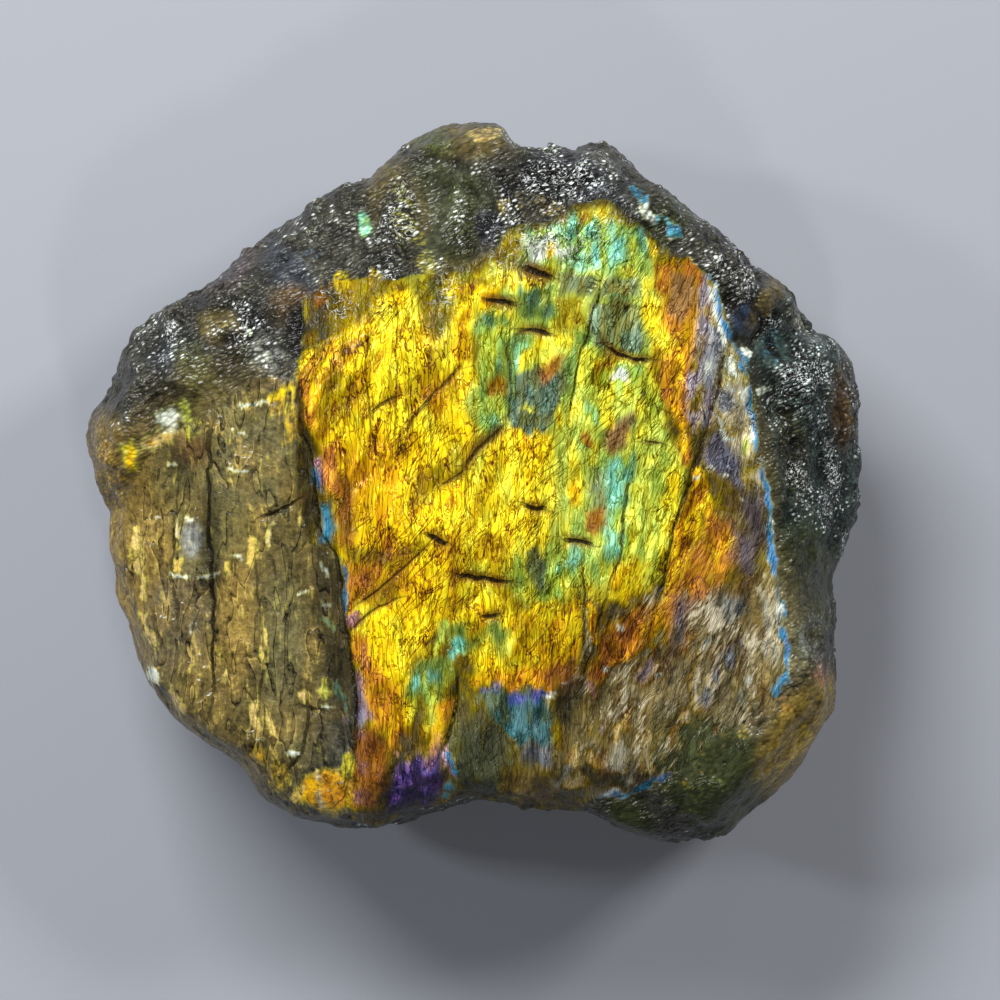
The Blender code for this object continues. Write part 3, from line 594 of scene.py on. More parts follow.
# cracks that run with the grain: width in mm, depth and the steps that they pass
cracks = {
    "upright": (0.14, 1, [(604, 270), (598, 300), (590, 325), (584, 345), (577, 370), (573, 398),
        (568, 430)]),
    "long": (0.13, 0.9, [(634, 448), (629, 490), (622, 525), (619, 555), (612, 580), (604, 604),
        (598, 630), (588, 664), (580, 690), (577, 708)]),
    "second": (0.13, 0.85, [(582, 552), (583, 590), (584, 625), (581, 660)]),
    "right": (0.2, 1, [(706, 430), (703, 450), (695, 474), (686, 495), (681, 508), (676, 530), (670, 550),
        (664, 575), (657, 600), (650, 622)]),
    "beside": (0.16, 0.9, [(727, 350), (724, 370), (721, 388), (716, 408), (710, 424)]),
    "low": (0.18, 1, [(458, 664), (458, 685), (454, 712), (450, 735), (446, 750)]),
    "left": (0.12, 0.8, [(364, 322), (363, 350), (365, 378), (368, 410), (374, 440), (378, 466)]),
    "leftMiddle": (0.11, 0.75, [(396, 300), (395, 345), (396, 392), (394, 430), (392, 448)]),
    "greenRun": (0.12, 0.8, [(512, 320), (509, 350), (510, 385), (508, 420)]),
    "centre": (0.1, 0.6, [(463, 480), (465, 510), (478, 520)]),
    "columns": (0.1, 0.6, [(348, 470), (350, 500), (348, 536)]),
    "besidePlates": (0.13, 0.9, [(297, 372), (296, 400), (299, 435), (307, 455), (312, 500), (316, 530),
        (328, 545), (336, 556), (342, 600), (344, 626), (346, 640), (351, 665), (356, 700), (354, 730),
        (350, 770), (346, 802)]),
    "plate": (0.2, 1, [(211, 404), (206, 450), (205, 490), (206, 540), (207, 585), (209, 640), (211, 690),
        (204, 728)]),
    "plateRight": (0.12, 0.6, [(252, 540), (258, 600), (264, 660), (258, 720)]),
    "plateFoot": (0.16, 0.9, [(304, 685), (308, 720), (300, 758), (280, 784)]),
    "plateFar": (0.12, 0.6, [(176, 470), (172, 520), (168, 580), (178, 640)]),
    "flank": (0.22, 0.8, [(768, 318), (758, 340), (750, 352)]),
    "flankLow": (0.26, 0.8, [(782, 378), (776, 400), (770, 420)]),
}
# short splits that lie across the grain, and slanting folds
splits = {
    "one": (0.2, 1, [(484, 298), (498, 301), (516, 306)]),
    "two": (0.18, 1, [(520, 330), (532, 333), (552, 338)]),
    "three": (0.3, 1, [(524, 270), (540, 275), (554, 280)]),
    "four": (0.18, 1, [(600, 348), (622, 356), (638, 360), (652, 360)]),
    "five": (0.13, 0.8, [(643, 443), (652, 446), (660, 447)]),
    "six": (0.22, 1, [(523, 506), (534, 508), (546, 512)]),
    "seven": (0.18, 1, [(566, 542), (578, 545), (592, 547)]),
    "eight": (0.18, 1, [(454, 575), (480, 580), (512, 586)]),
    "nine": (0.24, 1, [(424, 537), (436, 540), (448, 544)]),
    "ten": (0.2, 1, [(484, 616), (492, 618), (500, 620)]),
    "foldHigh": (0.14, 0.7, [(402, 436), (412, 420), (432, 398), (446, 384), (464, 362)]),
    "foldMiddle": (0.14, 0.7, [(368, 414), (380, 404), (396, 396)]),
    "foldCentre": (0.16, 0.8, [(506, 424), (490, 438), (474, 452), (464, 468)]),
    "foldLeft": (0.12, 0.6, [(440, 486), (452, 478), (464, 470)]),
    "foldLow": (0.1, 0.8, [(428, 548), (404, 568), (376, 592), (352, 610)]),
    "foldLower": (0.1, 0.7, [(346, 636), (360, 622), (380, 608), (400, 600)]),
    "plateSplit": (0.16, 1, [(258, 521), (280, 512), (300, 503)]),
    "toeSplit": (0.14, 0.8, [(300, 706), (312, 712), (322, 714)]),
}
# places that lie in shadow: depth, softness, then a patch, a strand or an outline, in steps
shadows = {
    "topLip": (0.55, 0.7, 6, [(494, 250), (504, 232), (524, 226), (548, 222), (574, 208), (608, 202),
        (634, 220), (656, 246)]),
    "besideSlivers": (0.65, 0.5, 7, [(300, 420), (301, 450), (305, 500), (314, 530), (326, 548)]),
    "nodeCurl": (0.5, 0.5, 2.4, [(736, 420), (744, 428), (738, 440), (746, 462)]),
    "stripCurlDark": (0.5, 0.5, 2.4, [(730, 352), (724, 368), (736, 378), (728, 396), (738, 412)]),
    "ledgeDark": (0.6, 0.6, 13, [(322, 552), (326, 600), (334, 650), (340, 700), (342, 746)]),
    "besideLedge": (0.7, 0.5, 9, [(334, 560), (332, 590), (336, 620), (346, 640)]),
    "ledgeRun": (0.55, 0.5, 5, [(298, 384), (300, 420), (304, 460)]),
    "ledgeRunLow": (0.6, 0.5, 6, [(345, 640), (350, 670), (354, 700), (352, 760)]),
    "slantDark": (0.45, 0.5, 5, [(512, 410), (500, 426), (480, 444), (466, 462), (452, 486)]),
    "edgeShadow": (0.4, 0.5, 4, [(452, 545), (455, 568), (456, 592)]),
    "bandUnderSplit": (0.35, 0.5, 7, [(346, 552), (380, 556), (412, 552)]),
    "wedgeDark": (0.6, 0.4, [(380, 594), (398, 574), (392, 600), (378, 606)]),
    "greyShardDark": (0.5, 0.4, [(690, 430), (712, 424), (708, 446), (694, 452)]),
    "leanCrackLow": (0.5, 0.5, 5, [(584, 640), (582, 670), (576, 700)]),
    "lowDark": (0.75, 0.35, [(552, 690), (578, 676), (580, 700), (568, 726), (552, 720), (550, 700)]),
    "violetDark": (0.6, 0.4, [(386, 764), (398, 752), (400, 776), (384, 806), (372, 816), (378, 790)]),
    "violetDarkLow": (0.55, 0.4, [(362, 812), (388, 810), (410, 812), (400, 824), (368, 824)]),
    "heapDark": (0.5, 0.4, 4, [(456, 680), (450, 710), (446, 740)]),
    "greenHeapDark": (0.45, 0.4, 4, [(446, 618), (436, 634), (420, 652), (404, 680)]),
    "plateGroove": (0.6, 0.5, 10, [(206, 480), (208, 540), (208, 600)]),
    "underNub": (0.5, 0.5, (178, 466), (30, 10), 70),
    "rightPlateDark": (0.35, 0.5, (765, 420), (10, 60), 0),
    "cornerDark": (0.55, 0.4, 5, [(297, 330), (296, 350), (298, 366)]),
    "splitUpDark": (0.7, 0.4, [(524, 270), (552, 276), (548, 284), (532, 280)]),
    "facetFoot": (0.3, 0.5, (640, 815), (60, 8), 80),
    "rimDeep": (0.6, 0.4, (738, 312), (6, 14), -30),
}

# the colours that the flash runs through, in linear light
flashRamp = [
    (0.00, (0.28, 0.14, 0.52)),
    (0.08, (0.14, 0.18, 0.62)),
    (0.14, (0.08, 0.44, 0.78)),
    (0.21, (0.14, 0.66, 0.74)),
    (0.28, (0.34, 0.90, 0.62)),
    (0.36, (0.40, 0.68, 0.11)),
    (0.44, (0.72, 0.88, 0.12)),
    (0.50, (1.00, 0.90, 0.03)),
    (0.55, (1.00, 0.77, 0.005)),
    (0.60, (1.00, 0.56, 0.005)),
    (0.66, (0.92, 0.37, 0.02)),
    (0.72, (0.75, 0.31, 0.04)),
    (0.79, (0.72, 0.32, 0.20)),
    (0.85, (0.80, 0.38, 0.50)),
    (0.91, (0.50, 0.42, 0.70)),
    (0.96, (0.38, 0.42, 0.42)),
    (1.00, (0.92, 0.99, 0.84)),
    (1.06, (0.84, 0.68, 0.34)),
    (1.10, (0.85, 0.56, 0.08)),
    (1.14, (0.44, 0.48, 0.14)),
    (1.18, (0.28, 0.40, 0.22)),
    (1.22, (0.12, 0.38, 0.42)),
    (1.30, (0.38, 0.28, 0.27)),
    (1.36, (0.28, 0.31, 0.42)),
    (1.46, (0.62, 0.36, 0.13)),
    (1.54, (0.58, 0.30, 0.09)),
]
# what happens when a hue slides along the ramp
slides = {
    "blueBelow": 0.24,  # blues only slide towards green
    "greenBelow": 0.46,  # greens slide further than the rest
    "coolestGreen": 0.255,  # but never into blue
    "greyAbove": 0.93,  # greys and creams stay where they are
    "earthAbove": 1.12,  # and the colours past them slide very little
}
palette = {  # what the body of the stone is coloured with
    "rim": (0.082, 0.080, 0.058),
    "slate": (0.075, 0.085, 0.100),
    "teal": (0.058, 0.098, 0.085),
    "blue": (0.040, 0.080, 0.170),
    "moss": (0.085, 0.095, 0.030),
    "scoop": (0.070, 0.078, 0.040),
    "olive": (0.150, 0.118, 0.040),
    "brown": (0.140, 0.085, 0.030),
    "plum": (0.110, 0.085, 0.085),
    "black": (0.014, 0.014, 0.013),
    "pale": (0.300, 0.310, 0.270),
    "stone": (0.185, 0.158, 0.052),
    "gold": (0.300, 0.205, 0.050),
    "facet": (0.046, 0.055, 0.021),
    "amber": (0.270, 0.190, 0.040),
    "face": (0.130, 0.100, 0.030),
    "shimmer": (0.230, 0.190, 0.092),
    "leaf": (0.175, 0.152, 0.060),
    "sand": (0.150, 0.120, 0.060),
}
# what lies under the flash: tint, how many painted glints it has and how lumpy its rim relief is, softness,
# middle, reach and lean
bodyTints = {
    "topRim": ("rim", 0.7, 0.4, (5.5, 20.8), (7.0, 3.0), 0),
    "topSlate": ("slate", 0.8, 0.5, (7.4, 19.6), (3.4, 1.8), 40),
    "scoop": ("scoop", 0.35, 0.25, (-2.0, 18.4), (3.6, 3.4), 0),
    "topWet": ("black", 1.3, 0.4, (5.3, 20.4), (2.4, 1.4), 0),
    "scoopWet": ("slate", 1.2, 0.4, (1.2, 16.7), (1.1, 1.5), -30),
    "scoopEdge": ("black", 1.0, 0.5, (2.6, 18.6), (0.5, 2.2), -20),
    "scoopLeft": ("olive", 0.4, 0.5, (-5.2, 18.8), (1.8, 3.0), -20),
    "crest": ("olive", 0.3, 0.4, (-1.0, 23.0), (3.4, 1.2), 10),
    "crestTeal": ("moss", 0.3, 0.5, (-2.8, 23.0), (1.6, 0.9), 20),
    "band": ("rim", 1.0, 0.4, (-5.6, 14.6), (6.0, 1.5), -80),
    "bandOlive": ("moss", 0.9, 0.5, (-1.0, 14.8), (4.4, 0.8), -82),
    "bandBlue": ("slate", 0.5, 0.5, (-12.4, 14.2), (2.6, 1.2), 50),
    "bandBrown": ("brown", 0.3, 0.5, (-12.2, 11.9), (1.4, 1.3), 0),
    "edgeBrown": ("plum", 0.6, 0.4, (-17.4, 12.2), (4.6, 1.0), -55),
    "shoulder": ("rim", 1.0, 0.4, (-18.0, 8.0), (5.5, 3.6), -50),
    "shoulderSlate": ("slate", 0.9, 0.4, (-19.8, 8.6), (2.0, 1.5), -40),
    "shoulderOlive": ("olive", 0.5, 0.3, (-17.0, 10.3), (1.6, 1.3), 0),
    "shoulderBlack": ("black", 0.9, 0.4, (-14.6, 10.2), (1.8, 1.0), 60),
    "shoulderBlackLow": ("black", 0.8, 0.5, (-16.0, 8.9), (1.3, 0.7), 60),
    "shoulderPale": ("pale", 1.0, 0.4, (-13.8, 8.6), (1.3, 0.8), 60),
    "shoulderMoss": ("moss", 0.8, 0.4, (-18.2, 6.4), (3.6, 1.3), 70),
    "cornerBlack": ("black", 0.8, 0.4, (-11.8, 10.2), (0.8, 1.8), 0),
    "rimRight": ("teal", 0.85, 0.3, (22.8, 3.0), (4.0, 9.0), 0),
    "rimRightMoss": ("moss", 1.0, 0.4, (21.6, 2.4), (1.0, 3.6), -8),
    "rimRightWet": ("teal", 1.25, 0.5, (21.6, 6.8), (1.3, 3.4), -25),
    "rimRightWetHigh": ("black", 1.2, 0.5, (18.4, 12.0), (0.9, 2.8), -48),
    "rimRightWetLow": ("teal", 1.2, 0.5, (24.4, 2.2), (1.0, 3.4), 6),
    "rimRightBrown": ("brown", 0.6, 0.5, (25.0, 5.0), (0.9, 3.0), 0),
    "rimRightLow": ("facet", 0.3, 0.3, (22.2, -7.2), (2.2, 4.8), 4),
    "rimRightBlue": ("blue", 0.3, 0.4, (18.2, 10.9), (0.9, 1.0), 0),
    "rimRightTeal": ("teal", 0.4, 0.4, (20.0, 8.7), (1.3, 1.3), 0),
    "rimUpperRight": ("rim", 1.0, 0.4, (17.4, 14.0), (4.2, 1.8), -48),
    "rimUpperMoss": ("moss", 0.7, 0.5, (13.4, 17.6), (3.6, 1.1), -48),
    "edgeUpperRight": ("olive", 0.4, 0.4, (20.2, 12.6), (3.0, 0.7), -52),
    "rightGully": ("black", 0.8, 0.5, (19.8, 9.6), (0.3, 2.2), -22),
    "plates": ("olive", 0.15, 0.2, (-17.0, -8.0), (8.6, 15.5), 0),
    "plateStone": ("stone", 0.2, 0.3, (-15.6, -0.4), (3.6, 5.6), 0),
    "plateStoneLeft": ("stone", 0.25, 0.4, (-20.0, -3.4), (2.2, 3.8), 0),
    "plateMiddle": ("olive", 0.2, 0.4, (-13.4, -8.0), (2.2, 6.0), 0),
    "plateFar": ("gold", 0.3, 0.35, (-21.8, -6.8), (1.6, 5.6), 6),
    "plateRim": ("gold", 0.3, 0.4, (-23.4, -5.0), (1.6, 8.0), 6),
    "nub": ("gold", 0.35, 0.4, (-24.9, 1.4), (1.6, 3.0), 0),
    "plateDark": ("brown", 0.3, 0.5, (-18.8, 1.9), (1.3, 1.1), 0),
    "plateUpper": ("leaf", 0.2, 0.25, (-14.6, 0.8), (2.9, 2.9), 0),
    "plateSlate": ("pale", 0.2, 0.4, (-18.8, -3.9), (0.7, 1.2), 0),
    "plateSand": ("sand", 0.2, 0.3, (-20.0, -9.4), (2.1, 3.6), 6),
    "plateGold": ("gold", 0.2, 0.5, (-16.0, -9.4), (1.2, 4.2), 0),
    "plateScale": ("leaf", 0.2, 0.4, (-12.6, -10.4), (1.4, 4.6), 4),
    "plateSlateLow": ("leaf", 0.2, 0.4, (-12.0, -17.5), (0.8, 1.6), 0),
    # painted shade: black along the step down from the face to the plates
    "plateEdgeShade": ("black", 0.5, 0.5, (-10.0, -7.0), (0.9, 5.4), -8),
    "face": ("face", 0.1, 0.08, (4.0, -2.0), (16.6, 17.6), 0),
    "shimmer": ("shimmer", 0.15, 0.3, (15.6, -11.6), (6.4, 7.4), 30),
    "rightOlive": ("brown", 0.2, 0.4, (17.6, -4.6), (2.4, 4.4), 0),
    "facet": ("facet", 0.1, 0.2, (16.4, -19.8), (6.2, 3.6), 32),
    "facetLeft": ("facet", 0.15, 0.4, (10.6, -22.6), (2.6, 1.2), 60),
    "lowGrey": ("scoop", 0.1, 0.4, (0.6, -18.8), (3.2, 2.8), 0),
    "lowOlive": ("olive", 0.1, 0.4, (5.6, -18.2), (3.2, 3.0), 0),
    "corner": ("amber", 0.1, 0.3, (22.4, -17.2), (2.6, 4.6), 34),
}
# middle, reach and lean of the places where the texture differs
zones = {
    "slanted": [((14.6, -11.6), (7.0, 8.6), 35)],
    # where the face gets painted wet highlights and the painted shade beside them
    "wetGlints": [
        ((5.6, 16.0), (5.6, 1.9), -4),
        ((9.6, 16.4), (2.2, 2.2), 0),
        ((-9.4, 12.0), (2.8, 2.6), 20),
        ((-1.6, 14.0), (5.0, 0.8), -80),
        ((17.9, 4.6), (1.4, 4.4), -14),
    ],
}


def smooth(value, low, high):
    # 0 below low, 1 above high and an S between
    share = np.clip((value - low) / (high - low), 0.0, 1.0)
    return share * share * (3.0 - 2.0 * share)


def placed(right, down):
    # a point of the plan on the stone, to a tenth of a millimetre
    x = (right - plan["middle"][0]) * plan["step"]
    y = (plan["middle"][1] - down) * plan["step"]
    return round(x, 1), round(y, 1)


def sized(steps):
    # a size on the plan, to a tenth of a millimetre, or to a twentieth if it is small
    size = steps * plan["step"]
    return round(size, 1) if size >= 0.95 else round(size * 20.0) / 20.0


def onStone(shape):
    # a patch, a strand or an outline of the plan, with its places and sizes in millimetres
    if len(shape) == 3:
        middle, reach, lean = shape
        return placed(*middle), [sized(steps) for steps in reach], lean
    points = [placed(*point) for point in shape[-1]]
    return (sized(shape[0]), points) if len(shape) == 2 else (points,)


def patchMask(x, y, middle, reach, lean, soft):
    # 1 inside a leaning ellipse and 0 outside it
    turn = math.radians(-lean)
    across = (x - middle[0]) * math.cos(turn) + (y - middle[1]) * math.sin(turn)
    along = (y - middle[1]) * math.cos(turn) - (x - middle[0]) * math.sin(turn)
    distance = np.hypot(across / reach[0], along / reach[1])
    return 1.0 - smooth(distance, 1.0 - soft, 1.0 + soft)


def lineDistance(x, y, points):
    # distance to a line of points, negative on its left, and how far along it is nearest
    best = np.full(x.shape, 1e9)
    side = np.ones(x.shape)
    passed = np.zeros(x.shape)
    travelled = 0.0
    for (x0, y0), (x1, y1) in zip(points, points[1:]):
        dx, dy = x1 - x0, y1 - y0
        length = math.hypot(dx, dy)
        share = np.clip(((x - x0) * dx + (y - y0) * dy) / length**2, 0.0, 1.0)
        away = np.hypot(x - x0 - share * dx, y - y0 - share * dy)
        nearer = away < best
        cross = (x - x0) * dy - (y - y0) * dx
        side = np.where(nearer, np.where(cross < 0.0, -1.0, 1.0), side)
        passed = np.where(nearer, travelled + share * length, passed)
        best = np.where(nearer, away, best)
        travelled += length
    return best, side, passed / travelled


def insideDistance(x, y, outline):
    # distance to a closed outline, positive inside it
    best, _, _ = lineDistance(x, y, outline + outline[:1])
    inside = np.zeros(x.shape, bool)
    for (x0, y0), (x1, y1) in zip(outline, outline[1:] + outline[:1]):
        if y0 != y1:
            crosses = (y0 > y) != (y1 > y)
            inside ^= crosses & (x < (x1 - x0) * (y - y0) / (y1 - y0) + x0)
    return np.where(inside, best, -best)


def wobble(points, size, seed):
    # smooth noise at every point, mostly between -1 and 1
    grid = points / size + seed * seedSteps[0]
    cell = np.floor(grid)
    part = grid - cell
    ease = part * part * (3.0 - 2.0 * part)
    total = np.zeros(len(points))
    mixer = (12.9898, 78.233, 37.719)  # turns a cell's place into a number that looks random
    spread = 43758.5453
    for corner in itertools.product((0.0, 1.0), repeat=3):
        chance = np.sin((cell + corner) @ mixer) * spread
        share = np.where(corner, ease, 1.0 - ease).prod(axis=1)
        total += share * (chance - np.floor(chance))
    return (total - 0.5) * 2.6


def turned(points, lean):
    # the points as they lie in a frame that leans to the right
    turn = math.radians(lean)
    across = points[:, 0] * math.cos(turn) - points[:, 1] * math.sin(turn)
    along = points[:, 0] * math.sin(turn) + points[:, 1] * math.cos(turn)
    return np.stack((across, along, points[:, 2]), 1)


def roughNoise(points, size, seed):
    # two sizes of noise together
    fine = [0.48 * reach for reach in size]
    return wobble(points, size, seed) * 0.75 + wobble(points, fine, seed + 0.5) * 0.4


def rampColour(hue):
    # the colour of the flash at a place on its ramp
    places = [place for place, _ in flashRamp]
    return np.stack([np.interp(hue, places, [c[i] for _, c in flashRamp]) for i in range(3)], -1)


def layerMask(x, y, soft, shape):
    # a patch (middle, reach, lean), a strand (width, points) or an outlined place
    if len(shape) == 3:
        return patchMask(x, y, *shape, soft)
    if len(shape) == 1:
        return smooth(insideDistance(x, y, shape[0]), -soft, soft)
    width, points = shape
    away, _, passed = lineDistance(x, y, points)
    taper = np.clip(np.minimum(passed, 1.0 - passed) * 8.0, 0.35, 1.0)
    return 1.0 - smooth(away / (width * taper), 1.0 - soft, 1.0 + soft)


def flashPair(hue, shift):
    # the colour of a flash where it is bright, and the warmer one where it is dim
    coolBelow, greenBelow = slides["blueBelow"], slides["greenBelow"]
    if hue > slides["greyAbove"]:
        shift = np.clip(shift, -0.025, 0.02) * (hue > slides["earthAbove"])
        return rampColour(hue + shift), rampColour(hue - 0.01 + shift)
    shift = abs(shift) * 0.9 if hue < coolBelow else shift * (1.8 if hue < greenBelow else 1.0)
    warmer = 0.05 + 0.03 * min(1.0, max(0.0, (hue - greenBelow) / 0.08))
    warmer = min(warmer, max(0.0, 0.95 - hue))
    coolest = slides["coolestGreen"] if coolBelow < hue < greenBelow else 0.0
    return rampColour(np.maximum(hue - 0.03 + shift, coolest)), rampColour(hue + warmer + shift)


def paintFlash(x, y, shift, gaps, layers, low, high, flash):
    # lays one group of flashes over what is there; strands are broken by gaps
    for hue, strength, soft, *shape in layers.values():
        mask = layerMask(x, y, soft, onStone(shape))
        if len(shape) == 2:
            mask = mask * gaps
        bright, dim = flashPair(hue, shift)
        low = low + (bright - low) * mask[:, None]
        high = high + (dim - high) * mask[:, None]
        flash = flash + (strength - flash) * mask
    return low, high, flash


def crackFields(x, y, lines):
    # signed distance to the nearest line in line widths, and how much of a line shows there
    best = np.full(x.shape, 9.0)
    signed = np.full(x.shape, 9.0)
    shown = np.zeros(x.shape)
    for width, depth, course in lines.values():
        away, side, passed = lineDistance(x, y, [placed(*point) for point in course])
        taper = np.clip(np.minimum(passed, 1.0 - passed) * 6.0, 0.0, 1.0)
        nearer = away < best
        best = np.where(nearer, away, best)
        signed = np.where(nearer, side * away / width, signed)
        show = depth * (0.35 + 0.65 * taper) * (1.0 - smooth(away, 0.45, 0.8))
        shown = np.where(nearer, show, shown)
    return np.clip(signed, -4.0, 4.0), shown


def paintMap(points):
    # every painted field of the stone at the points of its surface, in millimetres
    fields = {}
    z = points[:, 2]
    broad = wobble(points, (2.6, 3.4, 2.6), 1.0)
    sway = wobble(points, (1.1, 2.2, 1.6), 2.0)
    strand = wobble(points, (0.6, 5.0, 2.0), 3.0)
    strandFine = wobble(points, (0.36, 2.4, 2.0), 7.0)
    crumble = wobble(points, (0.5, 0.9, 0.9), 5.0)
    crumbleFine = wobble(points, (0.3, 0.45, 0.5), 6.0)
    x = points[:, 0] + 0.12 * broad + 0.08 * sway
    y = points[:, 1] + 0.14 * wobble(points, (2.8, 2.8, 2.8), 4.0) + 0.08 * sway
    face = insideDistance(x, y, faceOutline)
    plates = insideDistance(x, y, plateOutline)
    aboveGirdle = smooth(z + 0.8 * broad + 0.4 * sway, *stone["girdle"])
    lowEdge = z - stone["faceFoot"] - 1.2 * broad - 0.8 * sway - 0.4 * crumble
    face = np.minimum(face, lowEdge * 0.5)
    plates = np.minimum(plates, (lowEdge + stone["platesLower"]) * 0.5)
    inFace = smooth(face, -0.15, 0.25)
    inPlates = smooth(plates, -0.2, 0.3)
    hue = 0.42 + 0.17 * inFace + 0.1 * inPlates
    low, high = rampColour(hue - 0.04), rampColour(hue + 0.05)
    flash = 0.2 * inFace + 0.12 * inPlates * (1.0 - inFace)
    ragged = x + 0.05 * sway + 0.13 * crumble + 0.09 * crumbleFine
    streaky = y + (0.26 * strand + 0.22 * strandFine) * inFace + 0.1 * crumble
    shift = 0.035 * crumble + 0.025 * strandFine + 0.015 * sway
    gaps = smooth(crumble + 0.6 * wobble(points, (1.1, 1.4, 1.4), 16.0), -0.9, 0.0)
    for layers in flashGroups:
        low, high, flash = paintFlash(ragged, streaky, shift, gaps, layers, low, high, flash)
    flash = flash + 0.1 * crumble + 0.06 * strandFine * inFace
    swaySize = (1.5, 2.6, 2.0)
    fields["sway"] = np.stack([wobble(points, swaySize, 21.0 + axis) for axis in range(3)], 1)
    fields["dips"] = roughNoise(turned(points, 12.0), (1.0, 2.3, 1.6), 11.0)
    bands = roughNoise(turned(points, 32.0), (1.2, 3.6, 2.0), 13.0)
    fields["bands"] = smooth(bands, 0.3, 0.55)
    fields["folded"] = smooth(wobble(points, (2.8, 2.8, 3.0), 14.0), -0.2, 0.5)
    fields["coarse"] = roughNoise(points, (1.6, 1.6, 1.6), 15.0)
    fields["glow"] = low
    fields["glowWarm"] = high
    frontFade = np.where(y < stone["frontFrom"], smooth(lowEdge, -1.5, 0.5), 1.0)
    fields["flash"] = flash * aboveGirdle * frontFade
    body = np.tile(palette["rim"], (len(x), 1))
    glintAndGrit = np.full(x.shape, 0.6)
    for tint, amount, soft, *shape in bodyTints.values():
        mask = layerMask(x, y, soft, shape) * aboveGirdle
        body = body + (palette[tint] - body) * mask[:, None]
        glintAndGrit = glintAndGrit + (amount - glintAndGrit) * mask
    fields["body"] = body
    fields["glintAndGrit"] = glintAndGrit
    for name, shapes in zones.items():
        inZone = [patchMask(x, y, *shape, 0.4) for shape in shapes]
        fields[name] = np.max(inZone, axis=0) * aboveGirdle
    fields["face"] = np.clip(face, -3.0, 3.0)
    fields["plates"] = np.clip(plates, -3.0, 3.0)
    bent = x + 0.10 * crumble + 0.05 * crumbleFine
    fields["crack"], crackShown = crackFields(bent, y, cracks)
    fields["split"], splitShown = crackFields(bent, y + 0.1 * crumble, splits)
    fields["crackShown"] = crackShown * aboveGirdle
    fields["splitShown"] = splitShown * aboveGirdle
    shade = np.zeros(x.shape)
    for depth, soft, *shape in shadows.values():
        shade = np.maximum(shade, depth * layerMask(x, y, soft, onStone(shape)))
    fields["shade"] = shade * aboveGirdle
    return fields


# laid one over another in this order
flashGroups = [
    goldFlashes, leftEdgeFlashes, greenFlashes, topFlashes, rightBandFlashes, middleFlashes,
    bottomFlashes, shimmerFlashes, platesFlashes, rimFlashes, lineFlashes,
]

stone = {
    "cell": 0.235,  # size of the fine mesh's cells, mm
    "melt": 22,  # smoothing passes that take the flat facets off the broken flank
    "meltStrength": 0.5,
    "keep": 0.66,  # share of the cells kept; the underside gives up the rest
    "coarseBelow": 7.0,  # the height under which it gives them up, mm
    "coarseBlend": 3.0,  # and the height over which that ends, mm
    "coarsePull": 8.0,
    "flatBelow": 0.12,  # what is lower than this lies on the floor, mm
    "girdle": (4.5, 8.0),  # the painting fades out downwards between these heights, mm
    "faceFoot": 12.8,  # how low the split face's colours reach, mm
    "platesLower": 5.8,  # how much lower the plates' colours reach, mm
    "frontFrom": -18.0,  # nearer than this, the flash fades towards the face's foot, mm
    "grainLean": 13.0,  # degrees that the grain leans at the right of the face
    "relief": {  # heights, mm
        "Lump": 0.26,
        "Granule": 0.5,
        "Crumb": 0.28,
        "Swell": 0.2,
        "Wrinkle": 0.12,
        "Lamella": 0.12,
        "Groove": 0.2,
        "Seed": 4.0,  # not a height: another seed gives another surface of the same kind
    },
    # the white of the painted glints on the rim, the face and the plates
    "glintWhite": (0.80, 0.85, 0.84),
    "silver": (0.60, 0.54, 0.38),
    "wax": (0.30, 0.20, 0.05),
    # the gold of the painted highlights on the plates' edges and of their glitter
    "highlightGold": (0.70, 0.52, 0.13),
    "rust": (0.16, 0.06, 0.008),
    # the dark of the cracks, and of the painted shade beside the face's highlights
    "crackAndShadeDark": (0.006, 0.004, 0.002),
    "shadeDark": (0.010, 0.010, 0.008),
}


def fineCopy(node):
    # a closed, even and finely divided copy of the frame's stone
    source = bmesh.new()
    source.from_mesh(node.data)
    bmesh.ops.remove_doubles(source, verts=source.verts, dist=1e-6)
    mesh = bpy.data.meshes.new("fineStone")
    source.to_mesh(mesh)
    source.free()
    piece = bpy.data.objects.new("fineStone", mesh)
    bpy.context.scene.collection.objects.link(piece)
    remesh = piece.modifiers.new("even", "REMESH")
    remesh.mode = "VOXEL"
    remesh.voxel_size = stone["cell"] * mm
    melt = piece.modifiers.new("melt", "SMOOTH")
    melt.factor = stone["meltStrength"]
    melt.iterations = stone["melt"]
    applyModifiers(piece)
    low = piece.vertex_groups.new(name="low")
    for vert in piece.data.vertices:
        raised = (vert.co.z / mm - stone["coarseBelow"]) / stone["coarseBlend"]
        weight = 1.0 - min(1.0, max(0.0, raised))
        low.add([vert.index], weight, "REPLACE")
    thin = piece.modifiers.new("thin", "DECIMATE")
    thin.ratio = stone["keep"]
    thin.vertex_group = "low"
    thin.vertex_group_factor = stone["coarsePull"]
    applyModifiers(piece)
    piece.vertex_groups.clear()
    return piece


def applyModifiers(piece):
    # turns the evaluated result into the piece's own plain mesh
    graph = bpy.context.evaluated_depsgraph_get()
    made = bpy.data.meshes.new_from_object(piece.evaluated_get(graph))
    old = piece.data
    piece.modifiers.clear()
    piece.data = made
    bpy.data.meshes.remove(old)


def storeFields(piece):
    # paints the map's fields on the mesh
    mesh = piece.data
    places = np.empty(len(mesh.vertices) * 3, np.float32)
    mesh.vertices.foreach_get("co", places)
    points = places.reshape(-1, 3).astype(float) / mm
    for name, values in paintMap(points).items():
        if values.ndim == 2:
            layer = mesh.attributes.new(name, "FLOAT_VECTOR", "POINT")
            layer.data.foreach_set("vector", values.astype(np.float32).reshape(-1))
        else:
            layer = mesh.attributes.new(name, "FLOAT", "POINT")
            layer.data.foreach_set("value", values.astype(np.float32))


